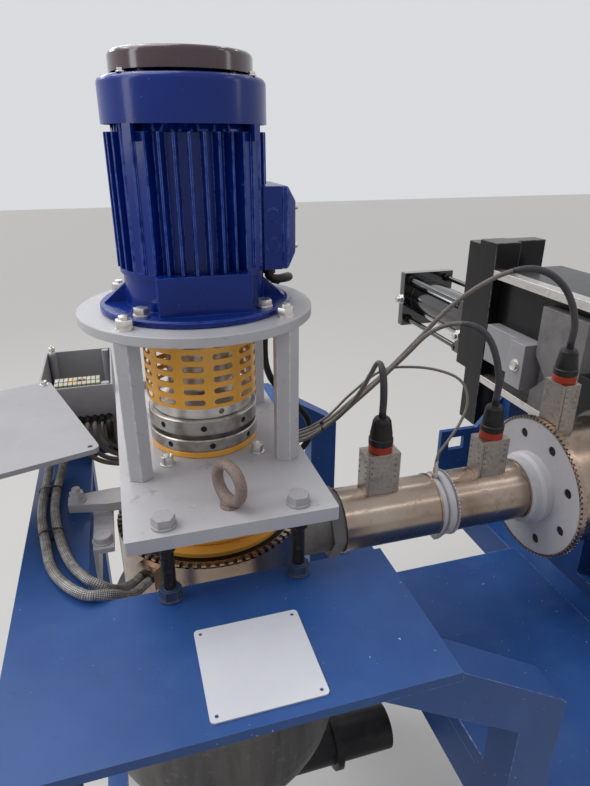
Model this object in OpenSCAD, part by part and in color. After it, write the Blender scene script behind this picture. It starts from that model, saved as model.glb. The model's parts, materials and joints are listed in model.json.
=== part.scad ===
// Discharge end of a plastics recycling extruder: a motor on a stand drives the knives of a
// hot cut head from above, and a heated melt pipe feeds the head from a screen changer.
// X runs along the melt pipe, Y away from the viewer, Z up. The motor axis is at X = Y = 0.

/* [Table] */
// Height of the table top above the floor
table_h = 1002; // [700:1:1300]
// Thickness of the table plate
table_t = 12; // [6:1:25]
// Reach of the table left of the motor axis
table_left = 260; // [250:1:400]
// Reach of the table right of the motor axis
table_right = 200; // [180:1:240]
// Reach of the table to the front and to the back
table_reach = 412; // [400:1:520]
// Width of the table's left wing
wing_w = 84; // [75:1:110]
// Reach of the opening under the head to the front and to the back
opening_reach = 200; // [192:1:210]
// Corner radius of that opening
opening_r = 22; // [5:1:40]
// Width of legs, necks and beams
beam_w = 60; // [40:1:80]
// Depth of the two necks
neck_d = 50; // [30:1:70]
// Outer face of the necks' legs from the motor axis
neck_x = 348; // [320:1:420]
// Drop of the necks from the table top to their knee
neck_drop = 88; // [60:1:140]
// Side of the square sign plate
sign_w = 120; // [60:1:160]
// Height of the base frame's top above the floor
base_h = 621; // [400:1:700]
// Depth of the base frame's beams
base_beam_h = 80; // [50:1:120]
// Height of the tray's turned down rim
tray_h = 30; // [15:1:50]
// Length of the tray along the melt pipe
tray_w = 354; // [250:1:380]

/* [Stand] */
// Gap between the table and the head plate
jack_gap = 86; // [60:1:150]
// Width of the head plate along the melt pipe
plate_w = 250; // [240:1:290]
// Depth of the head plate
plate_d = 472; // [460:1:520]
// Thickness of the head plate
plate_t = 18; // [10:1:30]
// Diameter of the jacking studs
stud_d = 16; // [12:1:24]
// Distance of the jacking studs from the motor axis along X
stud_x = 80; // [60:1:100]
// Distance of each post from the motor axis along X and Y
post_off = 98; // [94:1:102]
// Size of the hexagonal posts across their flats
post_af = 30; // [24:1:34]
// Length of the posts
post_h = 186; // [180:1:260]
// Diameter of the round motor plate
disc_d = 311; // [305:1:340]
// Thickness of the round motor plate
disc_t = 13; // [10:1:25]

/* [Motor] */
// Diameter of the motor flange
flange_d = 250; // [240:1:254]
// Thickness of the motor flange
flange_t = 9; // [8:1:16]
// Bolt circle of the motor flange
flange_pcd = 215; // [205:1:225]
// Diameter over the cooling fins
stator_d = 194; // [184:1:198]
// Height of the cooling fins
fin_h = 16; // [8:1:22]
// Thickness of the cooling fins
fin_t = 3.2; // [2:0.1:5]
// Length of the finned housing
stator_h = 156; // [130:1:220]
// Height of the lower end shield above the flange
shield_h = 47; // [35:1:70]
// Gap between the fins and the fan cowl
cowl_gap = 8; // [4:1:15]
// Height of the fan cowl
cowl_h = 50; // [35:1:90]
// Diameter of the canopy over the fan
canopy_d = 167; // [150:1:180]
// Height of the canopy
canopy_h = 26; // [18:1:40]
// Width of the terminal box
terminal_w = 90; // [60:1:110]
// Height of the terminal box
terminal_h = 103; // [80:1:130]
// Depth of the terminal box's lid
terminal_lid_t = 22; // [12:1:40]

/* [Drive] */
// Diameter of the slotted guard
guard_d = 154; // [146:1:164]
// Wall of the slotted guard
guard_t = 2; // [1.5:0.5:4]
// Height of a guard slot
slot_h = 8; // [5:1:10]
// Diameter of the drive shaft
shaft_d = 28; // [20:1:38]
// Diameter of the shaft coupling
coupling_d = 92; // [70:1:100]
// Diameter of the threaded quill
quill_d = 124; // [110:1:130]
// Outside diameter of the ring nuts
nut_d = 154; // [146:1:160]
// Height of the lower ring nut
nut_low_h = 18; // [12:1:20]
// Height of the upper ring nut
nut_up_h = 22; // [14:1:24]
// Height of the collar at the quill's foot
collar_h = 9; // [5:1:12]

/* [Die head] */
// Diameter of the die head body
head_d = 270; // [250:1:284]
// Height of the die head body
head_h = 142; // [130:1:180]
// Height of the melt pipe axis below the head plate's top
axis_drop = 198; // [195:1:210]
// Diameter of the pellet chamber
chamber_d = 410; // [340:1:440]
// Diameter of the pellet outlet
outlet_d = 90; // [60:1:110]

/* [Melt pipe] */
// Bore of the melt pipe
melt_bore = 40; // [20:1:60]
// Outside diameter of the melt pipe
pipe_d = 96; // [80:1:100]
// Outside diameter of the heater bands on the pipe
band_d = 108; // [104:1:116]
// Distance of the big flange's face from the motor axis
flange_x = 603; // [590:1:680]
// Diameter of the big flange
big_flange_d = 258; // [230:1:300]
// Thickness of the big flange
big_flange_t = 10; // [8:1:30]
// Bolt circle of the big flange
big_flange_pcd = 202; // [180:1:210]
// Outside diameter of the barrel
barrel_d = 190; // [150:1:200]
// Distance from the big flange to the screen changer
barrel_gap = 187; // [180:1:260]
// Diameter of the heaters' plugs
plug_d = 40; // [30:1:46]

/* [Screen changer] */
// Width of the screen changer along the melt pipe
changer_w = 200; // [150:1:260]
// Height of its slide housing
slide_h = 300; // [240:1:340]
// Length of the barrel stub behind it
stub_len = 150; // [100:1:300]
// Bolt circle of the flange on that stub
stub_pcd = 224; // [215:1:230]
// Diameter of the hydraulic cylinder
cylinder_d = 120; // [80:1:130]
// Stroke length of the hydraulic cylinder's tube
cylinder_len = 315; // [200:1:400]

/* [Junction box] */
// Width of the junction box
jbox_w = 122; // [90:1:126]
// Depth of the junction box
jbox_d = 203; // [150:1:205]
// Height of the junction box
jbox_h = 119; // [60:1:130]
// Width of the lid
lid_w = 205; // [150:1:240]
// Length of the lid
lid_l = 285; // [220:1:300]

/* [Hidden] */
$fn = 64;
seat = 0.3;
run = 0.05;
sheet = 3;
plate_z = table_h + jack_gap;
head_z = plate_z + plate_t;
disc_z = head_z + post_h;
motor_z = disc_z + disc_t;
stator_z = motor_z + flange_t + shield_h;
stator_top = stator_z + stator_h;
cowl_z = stator_top + cowl_gap;
cowl_d = stator_d + 3;
canopy_z = cowl_z + cowl_h;
terminal_x = stator_d / 2 - fin_h + 4;
terminal_z = stator_z - 8;
lid_x = terminal_x + 24;
stud_y = plate_d / 2 - 22;
nut_low_z = head_z + collar_h + 0.5;
nut_up_z = nut_low_z + nut_low_h + 7;
sleeve_z = nut_up_z + nut_up_h;
sleeve_h = 18;
guard_z = sleeve_z + sleeve_h;
guard_h = disc_z - guard_z;
hub_d = nut_d - 2;
ring_z = head_z - 125;
body_top = ring_z - 8;
body_z = body_top - head_h;
skin_d = head_d + 12;
axis_z = head_z - axis_drop;
hub_x = 190;
clamp_x = 390;
clamp_w = 30;
neck_hub_x = flange_x - 37;
barrel_x = flange_x + big_flange_t;
changer_x = barrel_x + barrel_gap;
changer_back = changer_x + changer_w;
end_x = changer_back + stub_len;
slide_z = head_z - 197;
slide_top = slide_z + slide_h;
slide_y = 140;
slide_end = 480;
yoke_len = 74;
end_plate_y = slide_end + yoke_len;
end_plate_t = 48;
cylinder_y = end_plate_y + end_plate_t;
cylinder_z = head_z - 90;
cap_y = cylinder_y + 40 + cylinder_len;
cap_t = 28;
back_y = cap_y + cap_t;
tray_y = 124;
foot_w = 110;
foot_d = 90;
foot_t = 10;
frame_end = end_x - 40;
jbox_right = -plate_w / 2 - 3;
jbox_left = jbox_right - jbox_w;
jbox_y = opening_reach + 2;
boss = 12;
lid_turn = -72.7;
lid_z = table_h + jbox_h;
lid_in = 11;
lid_left = jbox_left + boss - (lid_w - lid_in) * cos(90 + lid_turn) - lid_in * cos(lid_turn);
mid_x = (lid_left + end_x) / 2;
mid_y = (back_y - table_reach) / 2;

// Each lead runs from its plug or gland to the junction box, heights from the head plate's top
lane = head_z - 118;
gland_y = jbox_y - 22;
gland_z = table_h + 59;
gland_x = [-232, -210, -188, -176, -164, -152, -140];
lead_1 = [[288, 0, -5], [288, 0, 25], [290, 12, 58], [292, 34, 70], [290, 56, 44], [282, 88, -8], [266, 122, -58],
    [240, 142, -92], [200, 146, -114], [120, 146, -118], [20, 146, -120], [-80, 148, -118], [-150, 150, -108],
    [-182, 152, -84], [-188, 158, -56], [-188, 168, -45], [-188, 180, -45]];
lead_2 = [[500, 0, -10], [500, 0, 30], [488, 12, 85], [470, 28, 112], [440, 52, 118], [408, 82, 96], [378, 106, 50],
    [340, 128, -2], [300, 144, -48], [255, 156, -92], [200, 158, -114], [100, 158, -118], [-60, 159, -118],
    [-142, 158, -106], [-170, 156, -82], [-176, 159, -56], [-176, 168, -45], [-176, 180, -45]];
lead_3 = [[634, 0, 80], [634, 0, 118], [618, 8, 165], [586, 18, 198], [545, 32, 208], [500, 54, 190], [450, 88, 140],
    [400, 112, 72], [350, 136, 4], [302, 156, -48], [255, 168, -92], [200, 170, -114], [80, 170, -118],
    [-80, 170, -118], [-132, 168, -104], [-158, 164, -80], [-164, 162, -56], [-164, 168, -45], [-164, 180, -45]];
probe_lead = [[397, 0, -112], [397, 0, -108], [402, 3, -98], [420, 8, -80], [448, 20, -54], [470, 38, -24], [470, 62, 4],
    [445, 84, 18], [400, 112, 22], [352, 146, 8], [302, 174, -46], [255, 180, -92], [200, 182, -114], [60, 182, -118],
    [-90, 180, -116], [-126, 176, -98], [-148, 170, -74], [-152, 166, -54], [-152, 170, -45], [-152, 180, -45]];
motor_lead = [[102, 0, 234], [102, 0, 230], [110, 2, 225], [126, 10, 223], [140, 34, 219], [144, 64, 213],
    [140, 94, 202], [134, 118, 180], [130, 134, 140], [128, 142, 60], [140, 150, 16], [170, 172, -26],
    [206, 192, -70], [228, 198, -110], [222, 196, -150], [180, 193, -172], [80, 190, -176], [-40, 190, -166],
    [-110, 192, -140], [-136, 192, -108], [-140, 184, -82], [-140, 170, -62], [-140, 171, -45], [-140, 180, -45]];
skin_lead_1 = [[-114, -103, -156], [-124, -113, -156], [-138, -132, -146], [-150, -156, -124], [-160, -172, -103],
    [-178, -162, -95], [-198, -124, -95], [-214, -66, -95], [-224, 0, -95], [-225, 60, -95], [-221, 112, -92],
    [-215, 142, -70], [-211, 160, -44], [-210, 170, -37], [-210, 180, -37]];
skin_lead_2 = [[-103, -114, -156], [-113, -124, -156], [-126, -146, -148], [-138, -170, -126], [-150, -190, -103],
    [-180, -192, -94], [-216, -140, -95], [-232, -70, -95], [-242, 0, -95], [-243, 64, -95], [-241, 112, -92],
    [-236, 142, -70], [-233, 160, -44], [-232, 170, -37], [-232, 180, -37]];

module place() translate([-mid_x, -mid_y, 0]) children();
module box(x0, x1, y0, y1, z0, z1) translate([x0, y0, z0]) cube([x1 - x0, y1 - y0, z1 - z0]);
module rod(d, h) cylinder(d = d, h = h);
module hex(af, h) cylinder(d = af / cos(30), h = h, $fn = 6);
module along_x(x, z) translate([x, 0, z]) rotate([0, 90, 0]) children();
module along_y(x, y, z) translate([x, y, z]) rotate([-90, 0, 0]) children();
module at_corners(x, y) for (sx = [-1, 1]) for (sy = [-1, 1]) translate([sx * x, sy * y, 0]) children();

// A ring turned about Z with small chamfers on its outer edges
module turned(d0, d1, h, c = 1) rotate_extrude() polygon([
    [d0 / 2, 0], [d1 / 2 - c, 0], [d1 / 2, c], [d1 / 2, h - c], [d1 / 2 - c, h], [d0 / 2, h]]);

module round_square(w, d, r) union() {
    translate([-w / 2 + r, -d / 2]) square([w - 2 * r, d]);
    translate([-w / 2, -d / 2 + r]) square([w, d - 2 * r]);
    for (sx = [-1, 1]) for (sy = [-1, 1]) translate([sx * (w / 2 - r), sy * (d / 2 - r)]) circle(r);
}

// A flat ring whose outer edge is cut by a row of narrow notches
module notched(d0, d1, count, wide, deep) difference() {
    circle(d = d1);
    circle(d = d0);
    for (i = [0 : count - 1]) rotate(360 * i / count) translate([d1 / 2 - deep, -wide / 2]) square([deep + 1, wide]);
}

// The table that carries the head
module table_plate() place() color([0.24, 0.37, 0.65]) translate([0, 0, table_h - table_t])
linear_extrude(table_t) difference() {
    translate([-table_left, -table_reach]) square([table_left + table_right, 2 * table_reach]);
    translate([-table_left + wing_w, 0]) {
        translate([opening_r, -opening_reach]) square([table_left + table_right, 2 * opening_reach]);
        translate([0, opening_r - opening_reach]) square([table_left + table_right, 2 * (opening_reach - opening_r)]);
        for (s = [-1, 1]) translate([opening_r, s * (opening_reach - opening_r)]) circle(opening_r);
    }
    at_corners(stud_x, stud_y) circle(d = stud_d + 1);
}
module foot(x, y) translate([x, y, 0]) linear_extrude(foot_t) difference() {
    round_square(foot_w, foot_d, 6);
    for (s = [-1, 1]) translate([s * (foot_w / 2 - 12), 0]) circle(d = 14);
}
module table_frame() place() color([0.24, 0.37, 0.65]) {
    for (s = [-1, 1]) {
        translate([-table_left + 8, s * (table_reach - 42) - beam_w / 2, foot_t])
            cube([beam_w, beam_w, table_h - table_t - foot_t]);
        foot(-table_left + 8 + beam_w / 2, s * (table_reach - 42));
        translate([-table_left + 8 + beam_w, s * (table_reach - 72) - 20, table_h - table_t - 50])
            cube([table_left + table_right - 118, 40, 50]);
    }
    translate([-table_left + 18, -table_reach + 42, table_h - table_t - 50]) cube([40, 2 * (table_reach - 42), 50]);
    translate([-table_left + 18, -table_reach + 42, 180]) cube([40, 2 * (table_reach - 42), 40]);
}
module table_necks() place() color([0.2, 0.3, 0.55]) for (s = [-1, 1])
    translate([0, s * (table_reach - neck_d / 2), 0]) {
        translate([0, neck_d / 2, 0]) rotate([90, 0, 0]) linear_extrude(neck_d) polygon([
            [table_right - 90, table_h - table_t], [table_right, table_h - table_t], [table_right, table_h - 1],
            [neck_x - 8, table_h - neck_drop], [neck_x, table_h - neck_drop - 8], [neck_x, foot_t],
            [neck_x - beam_w, foot_t], [neck_x - beam_w, table_h - neck_drop - 36]]);
        foot(neck_x - beam_w / 2, 0);
    }

// The low frame under the pipe and the screen changer
module base_frame() place() color([0.2, 0.3, 0.6]) {
    low = base_h - base_beam_h;
    for (s = [-1, 1]) {
        y = s * (table_reach - beam_w / 2);
        box(neck_x, frame_end, y - beam_w / 2, y + beam_w / 2, low, base_h);
        box(frame_end - beam_w, frame_end, y - beam_w / 2, y + beam_w / 2, foot_t, low);
        foot(frame_end - beam_w / 2, y);
        for (x = [changer_x + 8, changer_back - beam_w - 8])
            translate([x, s * 70 - beam_w / 2, base_h]) cube([beam_w, beam_w, axis_z - 150 - base_h]);
    }
    for (x = [neck_x, neck_x + tray_w + 15, changer_x + 8, changer_back - beam_w - 8, frame_end - beam_w])
        box(x, x + beam_w, beam_w - table_reach, table_reach - beam_w, low, base_h);
    for (x = [changer_x + 8, changer_back - beam_w - 8])
        box(x, x + beam_w, table_reach - beam_w, table_reach, base_h, slide_z);
    translate([0, table_reach - 20, 0]) rotate([90, 0, 0]) linear_extrude(12) difference() {
        polygon([[neck_x + tray_w - 62, base_h], [changer_x + 8, base_h], [changer_x + 8, slide_z],
            [changer_x - 60, slide_z - 80], [neck_x + tray_w - 62, slide_z - 80]]);
        for (i = [0, 1]) translate([neck_x + tray_w - 38 + 70 * i, slide_z - 134]) square([42, 34]);
    }
}
module base_tray() place() color([0.2, 0.3, 0.6]) translate([0, 0, base_h]) difference() {
    box(neck_x, neck_x + tray_w, -table_reach, tray_y, 0, tray_h);
    box(neck_x + sheet, neck_x + tray_w - sheet, sheet - table_reach, tray_y - sheet, -1, tray_h - sheet);
}
module sign_plate() place() color([0.85, 0.85, 0.88]) translate([-2, -table_reach + 14 + sign_w / 2, table_h])
    linear_extrude(2) difference() {
        round_square(sign_w, sign_w, 5);
        at_corners(sign_w / 2 - 7, sign_w / 2 - 7) circle(d = 4);
    }

// The stand of the motor
module head_plate() place() color([0.65, 0.64, 0.66]) translate([0, 0, plate_z]) linear_extrude(plate_t) difference() {
    round_square(plate_w, plate_d, 3);
    circle(d = quill_d + 1);
    at_corners(stud_x, stud_y) circle(d = stud_d + 1);
}
module jack_studs() place() color([0.15, 0.15, 0.16]) at_corners(stud_x, stud_y) {
    nut_h = 0.8 * stud_d;
    translate([0, 0, head_z + 3]) hex(1.5 * stud_d, 10);
    translate([0, 0, head_z]) rod(stud_d + 14, 3);
    translate([0, 0, plate_z - nut_h]) hex(1.5 * stud_d, nut_h);
    translate([0, 0, table_h + 3]) hex(1.5 * stud_d, nut_h);
    translate([0, 0, table_h]) rod(stud_d + 14, 3);
    translate([0, 0, table_h - table_t - nut_h]) hex(1.5 * stud_d, nut_h);
    translate([0, 0, table_h - table_t - nut_h - 10]) rod(stud_d, head_z + 3 - table_h + table_t + nut_h + 10);
}
module stand_posts() place() color([0.6, 0.6, 0.62]) at_corners(post_off, post_off) {
    translate([0, 0, head_z]) rotate(30) hex(post_af, post_h);
    translate([0, 0, disc_z]) rod(16, disc_t + 20);
}
module motor_plate() place() color([0.65, 0.64, 0.66]) translate([0, 0, disc_z]) difference() {
    turned(110, disc_d, disc_t);
    translate([0, 0, disc_t - 5]) rod(180 + 2 * run, 6);
    at_corners(post_off, post_off) translate([0, 0, -1]) rod(17, disc_t + 2);
    for (a = [45 : 90 : 359]) rotate(a) translate([flange_pcd / 2, 0, -1]) rod(14, disc_t + 2);
}

// The motor
module motor_end_shield() place() color([0.08, 0.2, 0.55]) translate([0, 0, motor_z]) difference() {
    union() {
        translate([0, 0, -4]) rod(180, 5);
        turned(0, flange_d, flange_t, 2);
        rod(stator_d - 12, flange_t + shield_h);
        translate([0, 0, flange_t + shield_h - 7]) rod(stator_d - 5, 7);
        box(-0.29 * stator_d, 0.29 * stator_d, -stator_d / 2 - 1, -60, 1, flange_t + shield_h);
        for (a = [-14, 14, 90, 180]) rotate(a) translate([0, 4, flange_t]) rotate([90, 0, 0]) linear_extrude(8)
            polygon([[60, -1], [flange_d / 2 - 6, -1], [flange_d / 2 - 6, 1], [stator_d / 2 - 7, 26], [60, 26]]);
    }
    translate([0, 0, -5]) rod(shaft_d + 2 * run, flange_t + 32);
    for (a = [45 : 90 : 359]) rotate(a) translate([flange_pcd / 2, 0, -1]) rod(14, flange_t + 2);
}
module motor_stator() place() color([0.08, 0.2, 0.55]) difference() {
    translate([0, 0, stator_z]) linear_extrude(stator_h) union() {
        circle(d = stator_d - 2 * fin_h);
        for (a = [5 : 10 : 359]) rotate(a) translate([stator_d / 2 - fin_h - 4, -fin_t / 2]) square([fin_h + 4, fin_t]);
        for (a = [45 : 90 : 359]) rotate(a) translate([stator_d / 2 - fin_h - 4, -16]) square([fin_h + 1, 32]);
    }
    box(terminal_x, stator_d, -terminal_w / 2 - 1, terminal_w / 2 + 1, stator_z - 1, terminal_z + terminal_h + 1);
}
module motor_rear_shield() place() color([0.08, 0.2, 0.55]) {
    translate([0, 0, stator_top]) rod(stator_d - 18, cowl_gap);
    for (a = [45 : 90 : 359]) rotate(a) {
        box(stator_d / 2 - 20, cowl_d / 2 + 4, -6, 6, stator_top, cowl_z);
        box(stator_d / 2 + seat, cowl_d / 2 + 4, -6, 6, stator_top - 10, stator_top + 1);
    }
}
module fan_cowl() place() color([0.08, 0.2, 0.55]) translate([0, 0, cowl_z]) {
    r = cowl_d / 2;
    rotate_extrude() polygon([[r, 0], for (a = [0 : 15 : 90]) [r - 8 + 8 * cos(a), cowl_h - 8 + 8 * sin(a)],
        [62, cowl_h], [62, cowl_h - 2], for (a = [90 : -15 : 0]) [r - 8 + 6 * cos(a), cowl_h - 8 + 6 * sin(a)], [r - 2, 0]]);
    translate([0, 0, cowl_h - 2]) linear_extrude(2) {
        circle(14);
        for (q = [24 : 10 : 54]) difference() {
            circle(q + 3);
            circle(q);
        }
        for (a = [0 : 45 : 135]) rotate(a) square([126, 4], center = true);
    }
}
module canopy() place() color([0.28, 0.22, 0.25]) translate([0, 0, canopy_z]) {
    r = canopy_d / 2;
    rotate_extrude() polygon([[r, 4], for (a = [0 : 15 : 90]) [r - 6 + 6 * cos(a), canopy_h - 6 + 6 * sin(a)],
        [0, canopy_h], [0, canopy_h - 2], [r - 6, canopy_h - 2], for (a = [90 : -15 : 0])
        [r - 6 + 4 * cos(a), canopy_h - 6 + 4 * sin(a)], [r - 2, 4]]);
    for (a = [45 : 90 : 359]) rotate(a) translate([r - 12, 0, 0]) rod(8, canopy_h - 1);
}
module terminal_box() place() color([0.08, 0.2, 0.55]) difference() {
    box(terminal_x, lid_x, -terminal_w / 2, terminal_w / 2, terminal_z, terminal_z + terminal_h);
    translate([0, 0, terminal_z - 1]) rod(stator_d - 5 + 2 * seat, stator_z - terminal_z + 1 + seat);
    for (z = [32, 68]) for (s = [-1, 1]) translate([(terminal_x + lid_x) / 2, s * (terminal_w / 2), terminal_z + z])
        rotate([90, 0, 0]) difference() {
            translate([0, 0, -0.8]) rod(19, 1.6);
            translate([0, 0, -2]) rod(16, 4);
        }
}
module terminal_lid() place() color([0.08, 0.2, 0.55]) intersection() {
    translate([0, terminal_w / 2, 0]) rotate([90, 0, 0]) linear_extrude(terminal_w) polygon([
        [lid_x, terminal_z], [lid_x + 8, terminal_z], [lid_x + terminal_lid_t, terminal_z + 19],
        [lid_x + terminal_lid_t, terminal_z + terminal_h - 19], [lid_x + 8, terminal_z + terminal_h],
        [lid_x, terminal_z + terminal_h]]);
    translate([0, 0, terminal_z]) linear_extrude(terminal_h) polygon([
        [lid_x, -terminal_w / 2], [lid_x + 8, -terminal_w / 2], [lid_x + terminal_lid_t, 14 - terminal_w / 2],
        [lid_x + terminal_lid_t, terminal_w / 2 - 14], [lid_x + 8, terminal_w / 2], [lid_x, terminal_w / 2]]);
}

// The drive between the plates
module coupling_guard() place() color([0.85, 0.6, 0.16]) translate([0, 0, guard_z]) difference() {
    rod(guard_d, guard_h);
    translate([0, 0, -1]) rod(guard_d - 2 * guard_t, guard_h + 2);
    for (a = [15 : 30 : 166]) for (z = [slot_h + 1 : 2 * slot_h - 0.3 : guard_h - 2 * slot_h]) rotate(a)
        translate([-guard_d, -10, z - slot_h / 2]) {
            cube([2 * guard_d, 20, slot_h]);
            for (y = [0, 20]) translate([0, y, slot_h / 2]) rotate([0, 90, 0]) rod(slot_h, 2 * guard_d);
        }
}
module drive_shaft() place() color([0.75, 0.75, 0.76])
    translate([0, 0, ring_z + 20]) rod(shaft_d, motor_z + flange_t + 20 - ring_z - 20);
module shaft_coupling() place() color([0.75, 0.75, 0.76]) translate([0, 0, guard_z + 8]) difference() {
    r = coupling_d / 2;
    hub_h = (guard_h - 16) / 2 - 8;
    rotate_extrude() polygon([[shaft_d / 2 + run, 0], [r - 12, 0], [r - 12, 10], [r, 14], [r, hub_h], [r - 5, hub_h],
        [r - 5, hub_h + 16], [r, hub_h + 16], [r, 2 * hub_h + 2], [r - 12, 2 * hub_h + 6],
        [r - 12, 2 * hub_h + 16], [shaft_d / 2 + run, 2 * hub_h + 16]]);
    for (z = [hub_h / 2 + 8, 1.5 * hub_h + 8]) for (a = [0 : 60 : 300]) rotate(a)
        translate([r - 8, 0, z]) rotate([0, 90, 0]) rod(7, 10);
}
module quill() place() color([0.6, 0.6, 0.58]) difference() {
    union() {
        translate([0, 0, ring_z + 24]) rod(quill_d, sleeve_z - ring_z - 23);
        translate([0, 0, sleeve_z]) turned(0, nut_d - 14, sleeve_h, 1.5);
    }
    translate([0, 0, ring_z]) rod(shaft_d + 2 * run, 400);
    rotate(-77) translate([quill_d / 2 - 6, 0, sleeve_z + 9]) rotate([0, 90, 0]) rod(8, 20);
}
module ring_nut(h, turn) rotate(turn) difference() {
    turned(quill_d + 2 * seat, nut_d, h, 1.5);
    for (a = [0 : 45 : 359]) rotate(a) translate([nut_d / 2 - 10, 0, h / 2]) rotate([0, 90, 0]) rod(8.5, 20);
}
module ring_nuts() place() color([0.6, 0.58, 0.55]) {
    translate([0, 0, nut_low_z]) ring_nut(nut_low_h, 0);
    translate([0, 0, nut_up_z]) ring_nut(nut_up_h, -8);
}
module quill_collar() place() color([0.85, 0.6, 0.16]) translate([0, 0, head_z])
    turned(quill_d + 2 * seat, nut_d - 2, collar_h, 1.5);
module eye_bolt() place() color([0.45, 0.4, 0.4]) translate([0, 40 - plate_d / 2, head_z]) {
    rod(28, 6);
    translate([0, 0, 5]) cylinder(d1 = 24, d2 = 14, h = 8);
    translate([0, 0, 37]) rotate([90, 0, 0]) rotate_extrude() translate([17, 0]) circle(d = 10, $fn = 24);
    translate([0, 0, 12]) rod(13, 10);
}

// The hot cut head
module cutter_ring() place() color([0.85, 0.6, 0.16]) translate([0, 0, ring_z]) difference() {
    union() {
        turned(0, 210, 12, 3);
        rod(hub_d, plate_z - ring_z);
    }
    translate([0, 0, 20]) rod(quill_d + 2 * seat, plate_z - ring_z);
    translate([0, 0, -1]) rod(shaft_d + 30, 22);
}
module die_head() place() color([0.55, 0.5, 0.45]) difference() {
    union() {
        translate([0, 0, body_z]) turned(0, head_d, head_h, 4);
        translate([0, 0, body_top - 1]) rod(head_d - 26, ring_z - body_top + 1);
        along_x(60, axis_z) rod(pipe_d, hub_x - 60);
    }
    along_x(70, axis_z) rod(melt_bore, hub_x);
}
module head_heater() place() color([0.6, 0.53, 0.47]) difference() {
    union() {
        translate([0, 0, body_z + 6]) linear_extrude(head_h - 8) difference() {
            circle(d = skin_d);
            circle(d = head_d + 2 * seat);
        }
        translate([0, 0, body_top + seat]) linear_extrude(3) notched(head_d - 22, skin_d, 72, 6, 8);
        rotate(225) box(skin_d / 2 - 2, skin_d / 2 + 12, -16, 16, head_z - 172, head_z - 140);
    }
    along_x(0, axis_z) rod(pipe_d + 2 * seat, head_d);
}
module head_bracket() place() color([0.6, 0.6, 0.62]) difference() {
    union() {
        translate([0, 0, table_h]) linear_extrude(14) polygon([[-206, 4], [-206, 28], [-150, 34], [-60, 34], [-60, -8], [-150, -8]]);
        translate([-172, 34, 0]) rotate([90, 0, 0]) linear_extrude(124)
            polygon([[0, table_h - 4], [0, table_h - 62], [6, table_h - 62], [6, table_h - 12], [28, table_h - 12], [28, table_h - 4]]);
        box(-172, -146, -8, 34, table_h - 5, table_h + 1);
    }
    translate([0, 0, table_h - 100]) rod(hub_d + 2 * seat, 200);
}
module pellet_chamber() place() color([0.4, 0.37, 0.33]) translate([0, 0, body_z]) rotate_extrude() polygon([
    [0, 0], [150, 0], [162, -4], [162, -22], [150, -26], [chamber_d / 2 - 20, -100], [chamber_d / 2, -135],
    for (a = [0 : 10 : 80]) [chamber_d / 2 - 130 + 130 * cos(a), -230 - 145 * sin(a)], [outlet_d / 2 + 8, -382], [0, -382]]);
module pellet_outlet() place() color([0.1, 0.1, 0.1]) translate([0, 0, body_z - 382]) {
    translate([0, 0, -30]) rod(outlet_d, 30);
    translate([0, 0, -10]) rod(outlet_d + 24, 10);
    translate([60, 0, -30]) rotate([90, 0, 0]) rotate([0, 0, 180]) rotate_extrude(angle = 90) translate([60, 0]) circle(d = outlet_d);
    translate([60, 0, -90]) rotate([0, 90, 0]) rod(outlet_d, 280);
    translate([215, 0, -90]) rotate([0, 90, 0]) rod(outlet_d + 24, 14);
}

// The melt pipe
module inlet_hub() place() color([0.55, 0.55, 0.57]) along_x(hub_x, axis_z) difference() {
    union() {
        rotate(30) hex(pipe_d + 8, 20);
        translate([0, 0, 19]) rod(pipe_d + 6, 5);
    }
    translate([0, 0, -1]) rod(melt_bore, 30);
}
module melt_pipe() place() color([0.5, 0.5, 0.52]) along_x(hub_x + 24, axis_z) difference() {
    rod(pipe_d, neck_hub_x - hub_x - 24);
    translate([0, 0, -1]) rod(melt_bore, flange_x);
}
// A heater band: a thin barrel with rolled ends, a gap where it is drawn together and its two lugs
module band(x0, x1, d0, d1) along_x(x0, axis_z) difference() {
    union() {
        rod(d1, x1 - x0);
        for (x = [0, x1 - x0 - 3]) translate([0, 0, x]) rod(d1 + 3, 3);
        for (x = [18, x1 - x0 - 34]) translate([d1 / 2 - 4, -7, x]) cube([14, 14, 16]);
    }
    translate([0, 0, -1]) rod(d0 + 2 * seat, x1 - x0 + 2);
    translate([0, -1.5, -1]) cube([d1, 3, x1 - x0 + 2]);
}
module heater_band_1() place() color([0.6, 0.53, 0.47]) band(hub_x + 24, clamp_x, pipe_d, band_d);
module heater_band_2() place() color([0.6, 0.53, 0.47]) band(clamp_x + clamp_w, neck_hub_x, pipe_d, band_d);
module heater_band_3() place() color([0.6, 0.53, 0.47]) band(barrel_x + 8, changer_x - 24, barrel_d, barrel_d + 40);
// Each heater's terminal housing stands on its band and carries a socket ring and a plug
function housings() = [[hub_x + 98, 60, 36, band_d, head_z - 73],
    [clamp_x + 110, 55, 36, band_d, head_z - 78], [barrel_x + 21, 36, 48, barrel_d + 40, head_z + 12]];
module heater_boxes() place() color([0.7, 0.7, 0.7]) for (b = housings()) difference() {
    union() {
        box(b[0] - b[1] / 2, b[0] + b[1] / 2, -b[2] / 2, b[2] / 2, axis_z, b[4]);
        box(b[0] - b[1] / 2 + 5, b[0] + b[1] / 2 - 5, -b[2] / 2 - 1.2, b[2] / 2 + 1.2, axis_z, b[4] - 5);
    }
    along_x(b[0] - 40, axis_z) rod(b[3] + 2 * seat, 80);
    along_x(barrel_x + 8 - seat, axis_z) rod(barrel_d + 43 + 2 * seat, 3 + 2 * seat);
}
module plug_rings() place() color([0.75, 0.27, 0.16]) for (b = housings()) translate([b[0], 0, b[4]]) turned(0, plug_d, 13, 1);
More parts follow.
